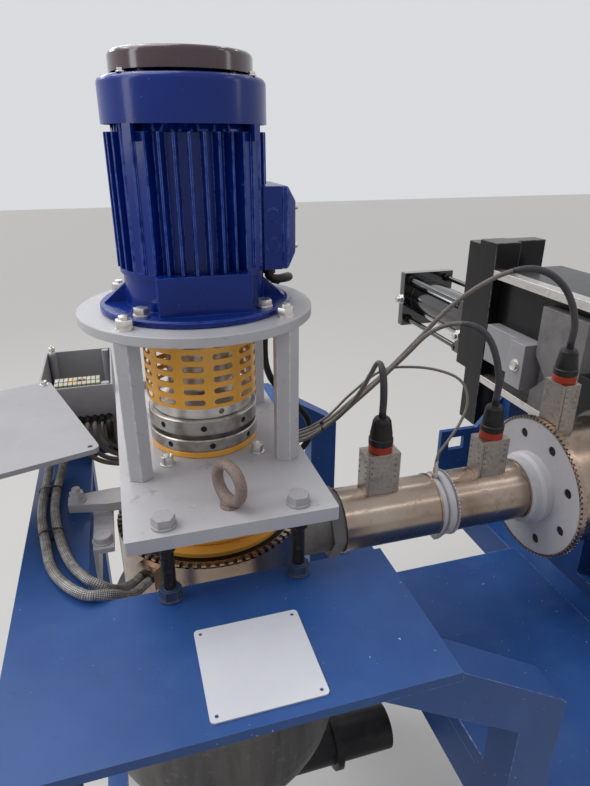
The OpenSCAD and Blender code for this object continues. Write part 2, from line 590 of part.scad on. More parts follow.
module heater_plugs() place() color([0.1, 0.1, 0.1]) for (b = housings()) translate([b[0], 0, b[4] + 13]) {
    turned(0, plug_d + 1, 12, 1.5);
    rotate_extrude() polygon([[0, 11], [plug_d / 2 - 1, 11], [plug_d / 2 - 1.5, 20], [plug_d / 2 - 5, 42],
        [plug_d / 2 - 8, 47], [6.5, 48], [6, 55], [0, 55]]);
}
module pipe_clamp() place() color([0.6, 0.6, 0.62]) along_x(clamp_x, axis_z) difference() {
    union() {
        turned(0, pipe_d + 11, 11, 2);
        rod(pipe_d + 4, clamp_w);
        translate([0, 0, 13]) turned(0, pipe_d + 18, 13, 2);
        translate([0, 0, clamp_w - 2]) linear_extrude(2) notched(0, pipe_d + 22, 56, 3.5, 5);
        translate([0, 0, 14]) linear_extrude(10) polygon([[0, -46], [30, -44], [76, -8], [76, 8], [30, 44], [0, 46]]);
    }
    translate([0, 0, -1]) rod(pipe_d + 2 * seat, clamp_w + 2);
}
module thermocouple() place() color([0.7, 0.7, 0.7]) translate([clamp_x + 7, 0, axis_z + pipe_d / 2 + 5.5]) {
    rotate(30) hex(10, 9);
    translate([0, 0, 8]) rod(9, 14);
    translate([0, 0, 21]) rod(7, 11.5);
}
module big_flange() place() color([0.6, 0.6, 0.62]) along_x(neck_hub_x, axis_z) difference() {
    neck = flange_x - neck_hub_x;
    rotate_extrude() polygon([[melt_bore / 2, 0], [pipe_d / 2 + 10, 0], [pipe_d / 2 + 14, 3], [pipe_d / 2 + 14, 16],
        [pipe_d / 2 + 19, 22], [pipe_d / 2 + 19, neck], [big_flange_d / 2 - 1, neck], [big_flange_d / 2, neck + 1],
        [big_flange_d / 2, neck + big_flange_t], [melt_bore / 2, neck + big_flange_t]]);
    for (a = [22.5 : 45 : 359]) rotate(a) translate([big_flange_pcd / 2, 0, neck - 1]) rod(18, big_flange_t + 2);
}
module flange_heater() place() color([0.6, 0.53, 0.47]) along_x(flange_x - 1, axis_z) union() {
    linear_extrude(big_flange_t + 3) notched(big_flange_d + 2 * seat, big_flange_d + 10, 90, 4, 3);
    translate([0, 0, 4]) linear_extrude(big_flange_t - 3) difference() {
        circle(d = big_flange_d + 9);
        circle(d = big_flange_d + 2 * seat);
    }
}
module barrel() place() color([0.5, 0.5, 0.52]) difference() {
    union() {
        along_x(barrel_x, axis_z) rod(barrel_d, changer_x - barrel_x);
        along_x(changer_x - 22, axis_z) rod(barrel_d + 60, 22);
        along_x(changer_back, axis_z) rod(barrel_d, stub_len);
        along_x(changer_back, axis_z) rod(barrel_d + 60, 22);
        along_x(end_x - 24, axis_z) turned(0, stub_pcd + 36, 24, 2);
    }
    along_x(barrel_x - 1, axis_z) rod(melt_bore, end_x);
    along_x(end_x - 25, axis_z) for (a = [22.5 : 45 : 359]) rotate(a) translate([stub_pcd / 2, 0, 0]) rod(18, 26);
}

// The screen changer: a block on the melt axis and a slide that a hydraulic cylinder pushes through it
module changer_body() place() color([0.25, 0.25, 0.27]) difference() {
    union() {
        box(changer_x, changer_back, -slide_y, slide_y, axis_z - 150, axis_z + 150);
        box(changer_x + 30, changer_back, slide_y - 1, slide_end, slide_z, slide_top);
    }
    along_x(changer_x - 1, axis_z) rod(melt_bore, changer_w + 2);
}
module changer_rails() place() color([0.75, 0.75, 0.76]) for (z = [slide_z, slide_top - 20])
    box(changer_x, changer_x + 30, slide_y + seat, slide_end, z, z + 20);
module changer_cover() place() color([0.4, 0.4, 0.4]) difference() {
    translate([changer_x + 2, slide_y + 2, slide_z + 20 + seat]) cube([28, 142, slide_h - 62]);
    translate([changer_x + 1, slide_y + 100, slide_z + 100]) rotate([-45, 0, 0]) cube([20, 200, 200]);
}
module clamp_block() place() color([0.65, 0.64, 0.66]) translate([0, 0, head_z - 143]) difference() {
    union() {
        box(changer_x - 22, changer_x + 30, 292, 350, 0, 110);
        box(changer_x - 4, changer_x + 30, 349, 470, 14, 110);
    }
    along_x(changer_x - 23, 55) translate([0, 318, 0]) rod(13, 20);
}
module changer_yoke() place() color([0.1, 0.1, 0.11]) {
    box(changer_x, changer_back, end_plate_y, cylinder_y, head_z - 182, head_z + 158);
    box(changer_x, changer_x + 70, slide_end, end_plate_y, slide_z - 130, head_z + 168);
    for (z = [slide_z + 30, slide_top - 50]) box(changer_x + 69, changer_back, slide_end, end_plate_y, z, z + 20);
}
module hydraulic_cylinder() place() color([0.1, 0.1, 0.11]) {
    x = (changer_x + changer_back) / 2 - 10;
    w = cylinder_d / 2 + 28;
    box(x - w + 12, x + w - 12, cylinder_y, cylinder_y + 40, cylinder_z - w + 12, cylinder_z + w - 12);
    along_y(x, cylinder_y + 39, cylinder_z) rod(cylinder_d, cap_y - cylinder_y - 38);
    box(x - w, x + w, cap_y, back_y, cylinder_z - w, cylinder_z + w);
    for (sx = [-1, 1]) for (sz = [-1, 1])
        along_y(x + sx * (w - 22), cylinder_y + 39, cylinder_z + sz * (w - 22)) rod(16, cap_y - cylinder_y - 38);
}

// The junction box with its lid taken off and hung at one corner
module junction_box() place() color([0.74, 0.73, 0.72]) translate([jbox_left, jbox_y, table_h]) {
    difference() {
        cube([jbox_w, jbox_d, jbox_h]);
        translate([sheet, sheet, sheet]) cube([jbox_w - 2 * sheet, jbox_d - 2 * sheet, jbox_h]);
    }
    for (x = [boss, jbox_w - boss]) for (y = [boss, jbox_d - boss]) translate([x, y, 2]) rod(14, jbox_h - 2);
}
module junction_lid() place() color([0.74, 0.73, 0.72]) translate([jbox_left + boss, jbox_y + boss, lid_z])
rotate(lid_turn) translate([lid_l / 2 - lid_in, lid_in - lid_w / 2, 0]) difference() {
    linear_extrude(7) round_square(lid_l, lid_w, 12);
    at_corners(lid_l / 2 - lid_in, lid_w / 2 - lid_in) translate([0, 0, -1]) rod(7, 9);
    translate([-lid_l / 2 + 24, -lid_w / 2 + 3, -1]) cube([lid_l - 48, lid_w - 6, 5]);
}
module terminal_strip() place() color([0.6, 0.6, 0.5]) translate([jbox_left + 22, jbox_y + 44, table_h + sheet]) {
    cube([jbox_w - 44, 36, 3]);
    for (x = [2, jbox_w - 50]) translate([x, 14, 2]) cube([4, 8, 78]);
    translate([0, 12, 78]) cube([jbox_w - 44, 12, 3]);
    for (i = [0 : 9]) translate([i * (jbox_w - 44) / 10 + 0.5, 0, 80.5]) cube([(jbox_w - 44) / 10 - 1.2, 36, 24]);
}
module cable_glands() place() color([0.1, 0.1, 0.1]) {
    for (i = [0 : 6]) along_y(gland_x[i], gland_y, gland_z + (i < 2 ? 8 : 0)) rod(i < 2 ? 17 : 11, jbox_y - gland_y);
    translate([102, 0, terminal_z - 13]) rod(17, 13);
}

// A tube of eight sides swept along a lead's points
function shifted(pts, d) = [for (p = pts) [p[0], p[1], p[2] + d]];
function heading(pts, i) = let (a = pts[max(i - 1, 0)], b = pts[min(i + 1, len(pts) - 1)]) (b - a) / norm(b - a);
function side_of(t) = let (s = cross(t, abs(t[2]) > 0.9 ? [0, 1, 0] : [0, 0, 1])) s / norm(s);
module sweep(pts, d, sides = 8) {
    n = len(pts);
    rings = [for (i = [0 : n - 1]) let (t = heading(pts, i), u = side_of(t), v = cross(t, u))
        for (k = [0 : sides - 1]) pts[i] + d / 2 * (cos(360 * k / sides) * u + sin(360 * k / sides) * v)];
    sidewalls = [for (i = [0 : n - 2]) for (k = [0 : sides - 1]) let (m = (k + 1) % sides, a = i * sides, b = a + sides)
        each [[a + k, b + k, b + m], [a + k, b + m, a + m]]];
    ends = [[for (k = [0 : sides - 1]) k], [for (k = [sides - 1 : -1 : 0]) (n - 1) * sides + k]];
    polyhedron(rings, concat(sidewalls, ends), convexity = 10);
}
module heater_lead_1() place() color([0.35, 0.34, 0.33]) sweep(shifted(lead_1, head_z), 8);
module heater_lead_2() place() color([0.35, 0.34, 0.33]) sweep(shifted(lead_2, head_z), 8);
module heater_lead_3() place() color([0.35, 0.34, 0.33]) sweep(shifted(lead_3, head_z), 8);
module probe_lead_1() place() color([0.35, 0.34, 0.33]) sweep(shifted(probe_lead, head_z), 5);
module motor_cable() place() color([0.05, 0.05, 0.05]) sweep(shifted(motor_lead, head_z), 12);
module skin_cable_1() place() color([0.4, 0.38, 0.34]) sweep(shifted(skin_lead_1, head_z), 13);
module skin_cable_2() place() color([0.4, 0.38, 0.34]) sweep(shifted(skin_lead_2, head_z), 13);

table_plate();
table_frame();
table_necks();
base_frame();
base_tray();
sign_plate();
head_plate();
jack_studs();
stand_posts();
motor_plate();
motor_end_shield();
motor_stator();
motor_rear_shield();
fan_cowl();
canopy();
terminal_box();
terminal_lid();
coupling_guard();
drive_shaft();
shaft_coupling();
quill();
ring_nuts();
quill_collar();
eye_bolt();
cutter_ring();
die_head();
head_heater();
head_bracket();
pellet_chamber();
pellet_outlet();
inlet_hub();
melt_pipe();
heater_band_1();
heater_band_2();
heater_band_3();
heater_boxes();
plug_rings();
heater_plugs();
pipe_clamp();
thermocouple();
big_flange();
flange_heater();
barrel();
changer_body();
changer_rails();
changer_cover();
clamp_block();
changer_yoke();
hydraulic_cylinder();
junction_box();
junction_lid();
terminal_strip();
cable_glands();
heater_lead_1();
heater_lead_2();
heater_lead_3();
probe_lead_1();
motor_cable();
skin_cable_1();
skin_cable_2();
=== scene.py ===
# %% [markdown]
# A hot cut head on its table: the discharge end of a plastics recycling extruder.
# The CAD part already holds every rigid shape at its real size, so this script gives each surface
# its finish, rounds the edges that catch the light, and adds the leads, screws, nuts and rivets.

# %% The frame
import json
import math
import bmesh
import bpy
from mathutils import Matrix, Vector
from mathutils.geometry import interpolate_bezier


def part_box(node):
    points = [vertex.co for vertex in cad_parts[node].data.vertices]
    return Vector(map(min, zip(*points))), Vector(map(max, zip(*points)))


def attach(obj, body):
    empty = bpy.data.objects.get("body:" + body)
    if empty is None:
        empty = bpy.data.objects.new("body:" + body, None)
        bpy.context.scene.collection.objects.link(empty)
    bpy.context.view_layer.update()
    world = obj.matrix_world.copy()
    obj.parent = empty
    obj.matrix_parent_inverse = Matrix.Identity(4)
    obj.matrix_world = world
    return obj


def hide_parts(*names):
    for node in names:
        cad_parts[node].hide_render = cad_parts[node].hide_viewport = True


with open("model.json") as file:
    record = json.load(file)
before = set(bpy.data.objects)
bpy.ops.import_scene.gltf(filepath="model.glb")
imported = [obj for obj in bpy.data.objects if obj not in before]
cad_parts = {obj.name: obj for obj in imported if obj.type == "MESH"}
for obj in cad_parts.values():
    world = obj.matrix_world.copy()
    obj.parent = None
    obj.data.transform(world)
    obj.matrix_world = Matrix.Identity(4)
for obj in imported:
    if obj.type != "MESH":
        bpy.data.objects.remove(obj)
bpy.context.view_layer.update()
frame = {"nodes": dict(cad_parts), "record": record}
slot_of = {row["node"]: row["material_slot"] for row in frame["record"]["subparts"]}
print(len(frame["nodes"]), "CAD nodes,", len(set(slot_of.values())), "finishes")

# %% [markdown]
# All small pieces are placed in millimetres from one point: the middle of the motor shaft at the
# top of the head plate. The frame gives that point, so nothing here has to be measured twice.

# %% One origin for every small piece
MM = 0.001
shaft_low, shaft_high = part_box("drive_shaft")
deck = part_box("head_plate")[1].z
origin = Vector(((shaft_low.x + shaft_high.x) / 2, (shaft_low.y + shaft_high.y) / 2, deck))


def at(x, y, z):
    """A point given in millimetres from the shaft and the top of the head plate."""
    return origin + Vector((x, y, z)) * MM


print("origin", tuple(round(v, 4) for v in origin))

# %% [markdown]
# The camera stands where the photographer stood: at eye height and under a metre from the motor,
# turned a little to the right and looking down. The photo's straight edges gave these numbers.

# %% The camera
CAMERA_PLACE = (-98.5, -793.7, 405.3)
CAMERA_YAW = math.radians(16.70)
CAMERA_PITCH = math.radians(23.29)
CAMERA_ROLL = math.radians(0.11)
CAMERA_LENS = 27.2
CAMERA_NEAR = 0.02
SENSOR = 36


def put(name, data):
    """A new object in the scene."""
    thing = bpy.data.objects.new(name, data)
    bpy.context.scene.collection.objects.link(thing)
    return thing


forward = Vector((math.sin(CAMERA_YAW) * math.cos(CAMERA_PITCH),
        math.cos(CAMERA_YAW) * math.cos(CAMERA_PITCH), -math.sin(CAMERA_PITCH)))
level = Vector((math.cos(CAMERA_YAW), -math.sin(CAMERA_YAW), 0))
upward = level.cross(forward)
across = math.cos(CAMERA_ROLL) * level + math.sin(CAMERA_ROLL) * upward
upward = math.cos(CAMERA_ROLL) * upward - math.sin(CAMERA_ROLL) * level
camera_turn = Matrix((across, upward, -forward)).transposed().to_4x4()
camera = put("camera", bpy.data.cameras.new("camera"))
camera.data.lens = CAMERA_LENS
camera.data.sensor_width = SENSOR
camera.data.clip_start = CAMERA_NEAR
camera.matrix_world = Matrix.Translation(at(*CAMERA_PLACE)) @ camera_turn
bpy.context.scene.camera = camera
print("camera at", tuple(round(v, 3) for v in camera.location))

# %% [markdown]
# Each lead is stiff. It leaves a plug, a gland or the heater's skin, goes over in an arch that its
# own stiffness holds, and down behind the head plate into a gland of the junction box, so both its
# ends are held. The CAD tubes follow the same points. Each row gives the thickness, then the points.

# %% Routes of the leads
ROUTES = {
    "heater_lead_1": (8, [
        (288, 0, -5), (288, 0, 25), (290, 12, 58), (292, 34, 70), (290, 56, 44), (282, 88, -8),
        (266, 122, -58), (240, 142, -92), (200, 146, -114), (120, 146, -118), (20, 146, -120),
        (-80, 148, -118), (-150, 150, -108), (-182, 152, -84), (-188, 158, -56), (-188, 168, -45),
        (-188, 180, -45)]),
    "heater_lead_2": (8, [
        (500, 0, -10), (500, 0, 30), (488, 12, 85), (470, 28, 112), (440, 52, 118), (408, 82, 96),
        (378, 106, 50), (340, 128, -2), (300, 144, -48), (255, 156, -92), (200, 158, -114),
        (100, 158, -118), (-60, 159, -118), (-142, 158, -106), (-170, 156, -82), (-176, 159, -56),
        (-176, 168, -45), (-176, 180, -45)]),
    "heater_lead_3": (8, [
        (634, 0, 80), (634, 0, 118), (618, 8, 165), (586, 18, 198), (545, 32, 208), (500, 54, 190),
        (450, 88, 140), (400, 112, 72), (350, 136, 4), (302, 156, -48), (255, 168, -92), (200, 170, -114),
        (80, 170, -118), (-80, 170, -118), (-132, 168, -104), (-158, 164, -80), (-164, 162, -56),
        (-164, 168, -45), (-164, 180, -45)]),
    "probe_lead_1": (5, [
        (397, 0, -112), (397, 0, -108), (402, 3, -98), (420, 8, -80), (448, 20, -54), (470, 38, -24),
        (470, 62, 4), (445, 84, 18), (400, 112, 22), (352, 146, 8), (302, 174, -46), (255, 180, -92),
        (200, 182, -114), (60, 182, -118), (-90, 180, -116), (-126, 176, -98), (-148, 170, -74),
        (-152, 166, -54), (-152, 170, -45), (-152, 180, -45)]),
    "motor_cable": (12, [
        (102, 0, 234), (102, 0, 230), (110, 2, 225), (126, 10, 223), (140, 34, 219), (144, 64, 213),
        (140, 94, 202), (134, 118, 180), (130, 134, 140), (128, 142, 60), (140, 150, 16), (170, 172, -26),
        (206, 192, -70), (228, 198, -110), (222, 196, -150), (180, 193, -172), (80, 190, -176),
        (-40, 190, -166), (-110, 192, -140), (-136, 192, -108), (-140, 184, -82), (-140, 170, -62),
        (-140, 171, -45), (-140, 180, -45)]),
    "skin_cable_1": (13, [
        (-114, -103, -156), (-124, -113, -156), (-138, -132, -146), (-150, -156, -124),
        (-160, -172, -103), (-178, -162, -95), (-198, -124, -95), (-214, -66, -95), (-224, 0, -95),
        (-225, 60, -95), (-221, 112, -92), (-215, 142, -70), (-211, 160, -44), (-210, 170, -37),
        (-210, 180, -37)]),
    "skin_cable_2": (13, [
        (-103, -114, -156), (-113, -124, -156), (-126, -146, -148), (-138, -170, -126),
        (-150, -190, -103), (-180, -192, -94), (-216, -140, -95), (-232, -70, -95), (-242, 0, -95),
        (-243, 64, -95), (-241, 112, -92), (-236, 142, -70), (-233, 160, -44), (-232, 170, -37),
        (-232, 180, -37)]),
}
print(len(ROUTES), "leads through", sum(len(points) for _, points in ROUTES.values()), "points")

# %% [markdown]
# A cubic curve between each two points, whose direction at a point comes from the points beside it,
# makes one smooth line. A tube is a row of circles along that line, each turned as little as
# possible from the one before, so that it doesn't twist. Its UV map is in metres, for the braid.

# %% A tube along a smooth line
TUBE_SIDES = 12
STEPS_PER_SPAN = 5


def mesh_from(bm, name, crease=None):
    """A mesh made from a bmesh: smooth, apart from edges sharper than crease, if that is given."""
    if crease:
        for face in bm.faces:
            face.smooth = True
    mesh = bpy.data.meshes.new(name)
    bm.to_mesh(mesh)
    bm.free()
    if crease:
        mesh.set_sharp_from_angle(angle=crease)
    return mesh


def keep(name, mesh):
    """Puts a finished mesh in the scene at the origin, riding on the part that stands still."""
    piece = put(name, mesh)
    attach(piece, "root")
    return piece


def headings(line):
    """The direction at each point of a line, from the points beside it."""
    return [(after - before).normalized() for before, after in zip(line[:1] + line, line[1:] + line[-1:])]


def smooth_line(points):
    """Points close together on one smooth curve through the given ones."""
    tangents = headings(points)
    line = [points[0]]
    for i in range(len(points) - 1):
        reach = (points[i + 1] - points[i]).length / 3
        span = interpolate_bezier(points[i], points[i] + tangents[i] * reach,
                points[i + 1] - tangents[i + 1] * reach, points[i + 1], STEPS_PER_SPAN + 1)
        line += span[1:]
    return line


def tube(line, radius, radii=None):
    """A round tube along a line, with a UV map in metres: U round it and V along it."""
    bm = bmesh.new()
    layer = bm.loops.layers.uv.new("UVMap")
    rings = []
    run = 0.0
    ways = headings(line)
    normal = ways[0].orthogonal().normalized()
    for i, (place, heading) in enumerate(zip(line, ways)):
        normal = (normal - heading * normal.dot(heading)).normalized()
        if i:
            run += (place - line[i - 1]).length
        turn = Matrix((normal, heading.cross(normal), heading)).transposed().to_4x4()
        ring = bmesh.ops.create_circle(bm, segments=TUBE_SIDES, radius=radii[i] if radii else radius,
                matrix=Matrix.Translation(place) @ turn)
        rings.append((ring["verts"], run))
    arc = math.tau * radius / TUBE_SIDES
    for (low, start), (high, end) in zip(rings, rings[1:]):
        for k in range(TUBE_SIDES):
            m = (k + 1) % TUBE_SIDES
            face = bm.faces.new((low[k], low[m], high[m], high[k]))
            face.smooth = True
            left = k * arc
            right = left + arc
            for loop, uv in zip(face.loops, ((left, start), (right, start), (right, end), (left, end))):
                loop[layer].uv = uv
    bm.faces.new(reversed(rings[0][0]))
    bm.faces.new(rings[-1][0])
    bmesh.ops.recalc_face_normals(bm, faces=bm.faces)
    return mesh_from(bm, "tube")


def length_of(line):
    """The length of a line of points."""
    return sum((b - a).length for a, b in zip(line, line[1:]))

# %% [markdown]
# Each lead takes the place of its CAD tube, and its length and thickness are printed.

# %% The leads
LINES = {}
for node, (thick, points) in ROUTES.items():
    line = smooth_line([at(*p) for p in points])
    LINES[node] = line
    lead = keep(node + "_braid", tube(line, thick * MM / 2))
    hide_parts(node)
    length_of(line)
    print(node, round(length_of(line), 3), "m long,", thick, "mm thick")

# %% [markdown]
# Every finish is a small tree of shader nodes. One class holds a value on its way through the
# tree, so that plain arithmetic on it adds the Math nodes, and a second one makes every other node.

# %% Shader arithmetic
class Value:
    """A socket's value in a node tree: arithmetic on it adds Math nodes."""

    def __init__(self, nodes, socket):
        self.nodes = nodes
        self.socket = socket

    def math(self, operation, first, second):
        return self.nodes.node("ShaderNodeMath", {"operation": operation}, {0: first, 1: second})

    def __add__(self, other):
        return self.math("ADD", self, other)

    def __sub__(self, other):
        return self.math("SUBTRACT", self, other)

    def __rsub__(self, other):
        return self.math("SUBTRACT", other, self)

    def __mul__(self, other):
        return self.math("MULTIPLY", self, other)

    __radd__ = __add__
    __rmul__ = __mul__

    def larger(self, other):
        return self.math("MAXIMUM", self, other)

    def sine(self):
        return self.math("SINE", self, 0.0)

    def band(self, low, high):
        """0 below low, 1 above high, and even between."""
        return self.nodes.node("ShaderNodeMapRange", None, {0: self, 1: low, 2: high, 3: 0.0, 4: 1.0})


class Nodes:
    """A node tree in which one method makes every node."""

    def __init__(self, tree):
        self.tree = tree

    def node(self, kind, settings=None, inputs=None, output=0):
        """A node of one kind: its settings come first, then the values or links of its inputs."""
        made = self.tree.nodes.new(kind)
        for key, value in (settings or {}).items():
            setattr(made, key, value)
        for key, value in (inputs or {}).items():
            self.plug(made.inputs[key], value)
        return Value(self, made.outputs[output])

    def plug(self, socket, value):
        if isinstance(value, Value):
            self.tree.links.new(value.socket, socket)
        else:
            socket.default_value = value

    def mix(self, factor, first, second):
        return self.node("ShaderNodeMix", {"data_type": "RGBA"}, {0: factor, 6: first, 7: second}, 2)

    def vector(self, operation, first, second=(0, 0, 0), output="Vector"):
        return self.node("ShaderNodeVectorMath", {"operation": operation}, {0: first, 1: second}, output)

# %% [markdown]
# Patterns read Object coordinates. Every piece sits at the origin, so these are places on the
# machine: a cloud of dust runs on from one piece to the next, and sizes are in metres.

# %% A finish
def rgb(red, green, blue):
    """A screen colour from 0 to 255 as the linear colour that Blender works in."""
    def linear(c):
        c /= 255
        return c / 12.92 if c <= 0.04045 else ((c + 0.055) / 1.055) ** 2.4
    return (linear(red), linear(green), linear(blue), 1.0)


class Finish(Nodes):
    """A material whose pattern comes from nodes on Object coordinates."""

    def __init__(self, name, **constants):
        self.material = bpy.data.materials.new(name)
        self.material.use_nodes = True
        super().__init__(self.material.node_tree)
        self.shader = self.tree.nodes["Principled BSDF"]
        self.object_place = self.node("ShaderNodeTexCoord", output="Object")
        for key, value in constants.items():
            self.set(key.replace("_", " ").title().replace("Ior", "IOR"), value)

    def set(self, name, value):
        """Plugs a value or a link into one of the shader's own sockets."""
        self.plug(self.shader.inputs[name], value)

    def noise(self, size, detail=4.0, roughness=0.55, distortion=0.0, stretch=None):
        """Cloudy noise whose blots are about size metres wide."""
        place = self.object_place
        if stretch:
            place = self.node("ShaderNodeMapping", None, {0: place, 3: stretch})
        return self.node("ShaderNodeTexNoise", None, {
            "Vector": place, "Scale": 1 / size, "Detail": detail, "Roughness": roughness,
            "Distortion": distortion})

    def cells(self, size):
        """A grey for each crystal of about size metres."""
        colour = self.node("ShaderNodeTexVoronoi", None, {
            "Vector": self.object_place, "Scale": 1 / size}, "Color")
        return self.node("ShaderNodeSeparateColor", None, {0: colour})

    def axis(self, name, place=None):
        return self.node("ShaderNodeSeparateXYZ", None, {0: place or self.object_place}, name)

    def attribute(self, name):
        return self.node("ShaderNodeAttribute", {"attribute_name": name}, None, "Fac")

    def done(self, colour, roughness, height, depth, strength=1.0):
        """Plugs in the colour, the roughness and a relief of some depth, and gives the material."""
        relief = {"Strength": strength, "Distance": depth, "Height": height}
        self.set("Base Color", colour)
        self.set("Roughness", roughness)
        self.set("Normal", self.node("ShaderNodeBump", None, relief))
        return self.material

# %% [markdown]
# Machine paint has a slow change of tone, a film of dust, small nicks, grease where hands go, and a
# fine orange peel. One recipe with a few amounts serves every painted piece, and its worn edges
# come from the attribute that the rounded edges carry.

# %% Paint
GREASE = rgb(52, 44, 38)


def painted(name, tone, shade, dust, roughness, coat, nick=None, dusty=0.35, grease=0.3, peel=0.00012,
        edge=0.5, gloss=0.5):
    """Machine paint: two tones in clouds, then dust, grease, nicks and worn edges over them."""
    look = Finish(name, coat_roughness=0.12, specular_ior_level=gloss)
    clouds = look.noise(0.16, 3.0)
    smears = look.noise(0.05, 6.0, 0.62, 0.6, (1, 1, 0.5))
    fine = look.noise(0.0035, 2.0)
    colour = look.mix(clouds.band(0.35, 0.7), tone, shade)
    film = smears.band(0.5, 0.78) * dusty
    colour = look.mix(film, colour, dust)
    dirt = look.noise(0.028, 8.0, 0.7, 0.3).band(0.6, 0.74) * grease
    colour = look.mix(dirt, colour, GREASE)
    specks = look.noise(0.006, 2.0).band(0.72, 0.75) * look.noise(0.07, 2.0).band(0.45, 0.6)
    worn = look.attribute("edge") * look.noise(0.012, 5.0, 0.7).band(0.38, 0.58) * edge
    colour = look.mix((specks * 0.7 + worn).band(0.0, 1.0), colour, nick or dust)
    look.set("Coat Weight", coat - (film + dirt) * coat)
    rough = roughness + film * 0.25 + dirt * 0.3 + specks * 0.2
    return look.done(colour, rough, fine * 0.6 + clouds * 0.4 - specks * 0.5, peel)


finishes = {
    "blue_paint": painted("table_paint", rgb(36, 76, 138), rgb(30, 66, 124), rgb(78, 110, 158), 0.46, 0.06,
        nick=rgb(178, 196, 226), dusty=0.18, grease=0.2, peel=0.0002, edge=0.9, gloss=0.3),
    "motor_blue": painted("motor_paint", rgb(6, 44, 134), rgb(3, 34, 112), rgb(34, 66, 136), 0.26, 0.22,
        nick=rgb(88, 122, 204), dusty=0.1, grease=0.16, peel=0.00018, edge=0.6, gloss=0.2),
    "grey_paint": painted("stand_paint", rgb(188, 186, 190), rgb(176, 174, 178), rgb(200, 197, 192),
        0.42, 0.12, nick=rgb(218, 217, 220), dusty=0.3, grease=0.44, edge=0.7, gloss=0.4),
    "dark_paint": painted("black_paint", rgb(19, 18, 19), rgb(13, 12, 13), rgb(60, 56, 55), 0.3, 0.16,
        nick=rgb(120, 114, 110), dusty=0.24, grease=0.1, edge=0.6, gloss=0.2),
    "canopy_brown": painted("canopy_paint", rgb(82, 60, 66), rgb(68, 50, 56), rgb(112, 98, 102), 0.16, 0.6,
        dusty=0.1, grease=0.05, peel=0.00006, edge=0.2, gloss=0.3),
    "yellow_paint": painted("guard_paint", rgb(244, 180, 66), rgb(232, 162, 52), rgb(240, 204, 132),
        0.4, 0.2, nick=rgb(130, 92, 44), dusty=0.24, grease=0.36),
    "box_grey": painted("box_paint", rgb(162, 161, 164), rgb(152, 151, 154), rgb(178, 176, 174), 0.5, 0.06,
        dusty=0.3, grease=0.16, peel=0.0001, edge=0.4, gloss=0.35),
    "white_plate": painted("plate_paint", rgb(204, 205, 211), rgb(196, 197, 205), rgb(186, 186, 188),
        0.3, 0.3, dusty=0.3, grease=0.1, peel=0.00003, edge=0.1),
}
print(len(finishes), "paints")

# %% [markdown]
# Turned rings carry fine lines round their axis, because the noise is squeezed along it, and sheet
# that has been hot goes straw and brown in patches. The head heater's sheet is made darker within a
# radius, near its top.

# %% Turned steel and hot sheet
SOFT_EDGE = 0.0005


def turned_steel(name, oil=0.0):
    """Machined steel, turned round the upright axis, with brown stains and a film of oil."""
    look = Finish(name, metallic=1.0)
    lines = look.noise(0.0016, 3.0, 0.7, 0.0, (0.02, 0.02, 1.0))
    stain = look.noise(0.035, 6.0, 0.65, 0.4).band(0.5, 0.72)
    colour = look.mix(lines.band(0.3, 0.7), rgb(196, 192, 188), rgb(226, 223, 219))
    if oil:
        colour = look.mix(oil, colour, rgb(96, 86, 80))
    colour = look.mix(stain * (0.4 + oil), colour, rgb(118, 100, 84))
    return look.done(colour, 0.28 + stain * 0.2 + lines * 0.12, lines, 0.00006)


def hot_skin(name, dark_ring=None):
    """Nickel plated sheet over a heater: glossy, straw brown where hottest, darker inside a given ring if
    wanted.
    """
    look = Finish(name, metallic=1.0)
    heat = look.noise(0.13, 3.0, 0.5, 0.6)
    stain = look.noise(0.04, 7.0, 0.7, 0.5).band(0.56, 0.76)
    dents = look.noise(0.05, 2.0)
    brushed = look.noise(0.0012, 2.0, 0.6, 0.0, (0.03, 1.0, 1.0))
    colour = look.mix(heat.band(0.38, 0.66), rgb(164, 150, 139), rgb(146, 127, 113))
    colour = look.mix(heat.band(0.62, 0.78) * 0.5, colour, rgb(108, 88, 76))
    colour = look.mix(stain * 0.45, colour, rgb(82, 68, 58))
    rough = 0.19 + stain * 0.22 + brushed * 0.1
    # Darker within the radius and above the height.
    if dark_ring:
        radius, height = dark_ring
        beside = look.vector("MULTIPLY", look.vector("SUBTRACT", look.object_place, origin), (1, 1, 0))
        away = look.vector("LENGTH", beside, output="Value")
        within = 1 - away.band(radius - SOFT_EDGE, radius)
        shade = within * look.axis("Z").band(height - SOFT_EDGE, height)
        colour = look.mix(shade, colour, rgb(46, 42, 40))
        rough = rough + shade * 0.3
    return look.done(colour, rough, dents * 0.9 + brushed * 0.1, 0.0005, 0.35)


finishes["bright_steel"] = turned_steel("turned_steel")
finishes["heater_skin"] = hot_skin("heater_sheet")
print(len(finishes), "finishes with these two")

# %% [markdown]
# Zinc shows pale crystals, which cells of one size make, and its greys are darker than bare zinc, as
# painted shade. Rust sits in blots on the forged eye, heat browns the cast die head, and a film of
# plastic dust and dried drips runs down the pellet chamber, so its noise is drawn out upright.

# %% Zinc, rust and cast steel
def zinc_sheet_in_painted_shade():
    """Galvanised sheet with pale crystals and a few brown stains, its greys darkened as painted shade."""
    look = Finish("zinc_sheet_in_painted_shade", metallic=1.0)
    crystal = look.cells(0.0035)
    stain = look.noise(0.02, 6.0, 0.65).band(0.55, 0.75)
    # Both crystal greys are darker than bare zinc: painted shade over the real crystals.
    colour = look.mix(crystal, rgb(148, 139, 133), rgb(166, 158, 151))
    colour = look.mix(stain * 0.5, colour, rgb(92, 82, 76))
    rough = 0.34 + crystal * 0.06 + stain * 0.15
    return look.done(colour, rough, look.noise(0.02, 3.0), 0.0003, 0.3)


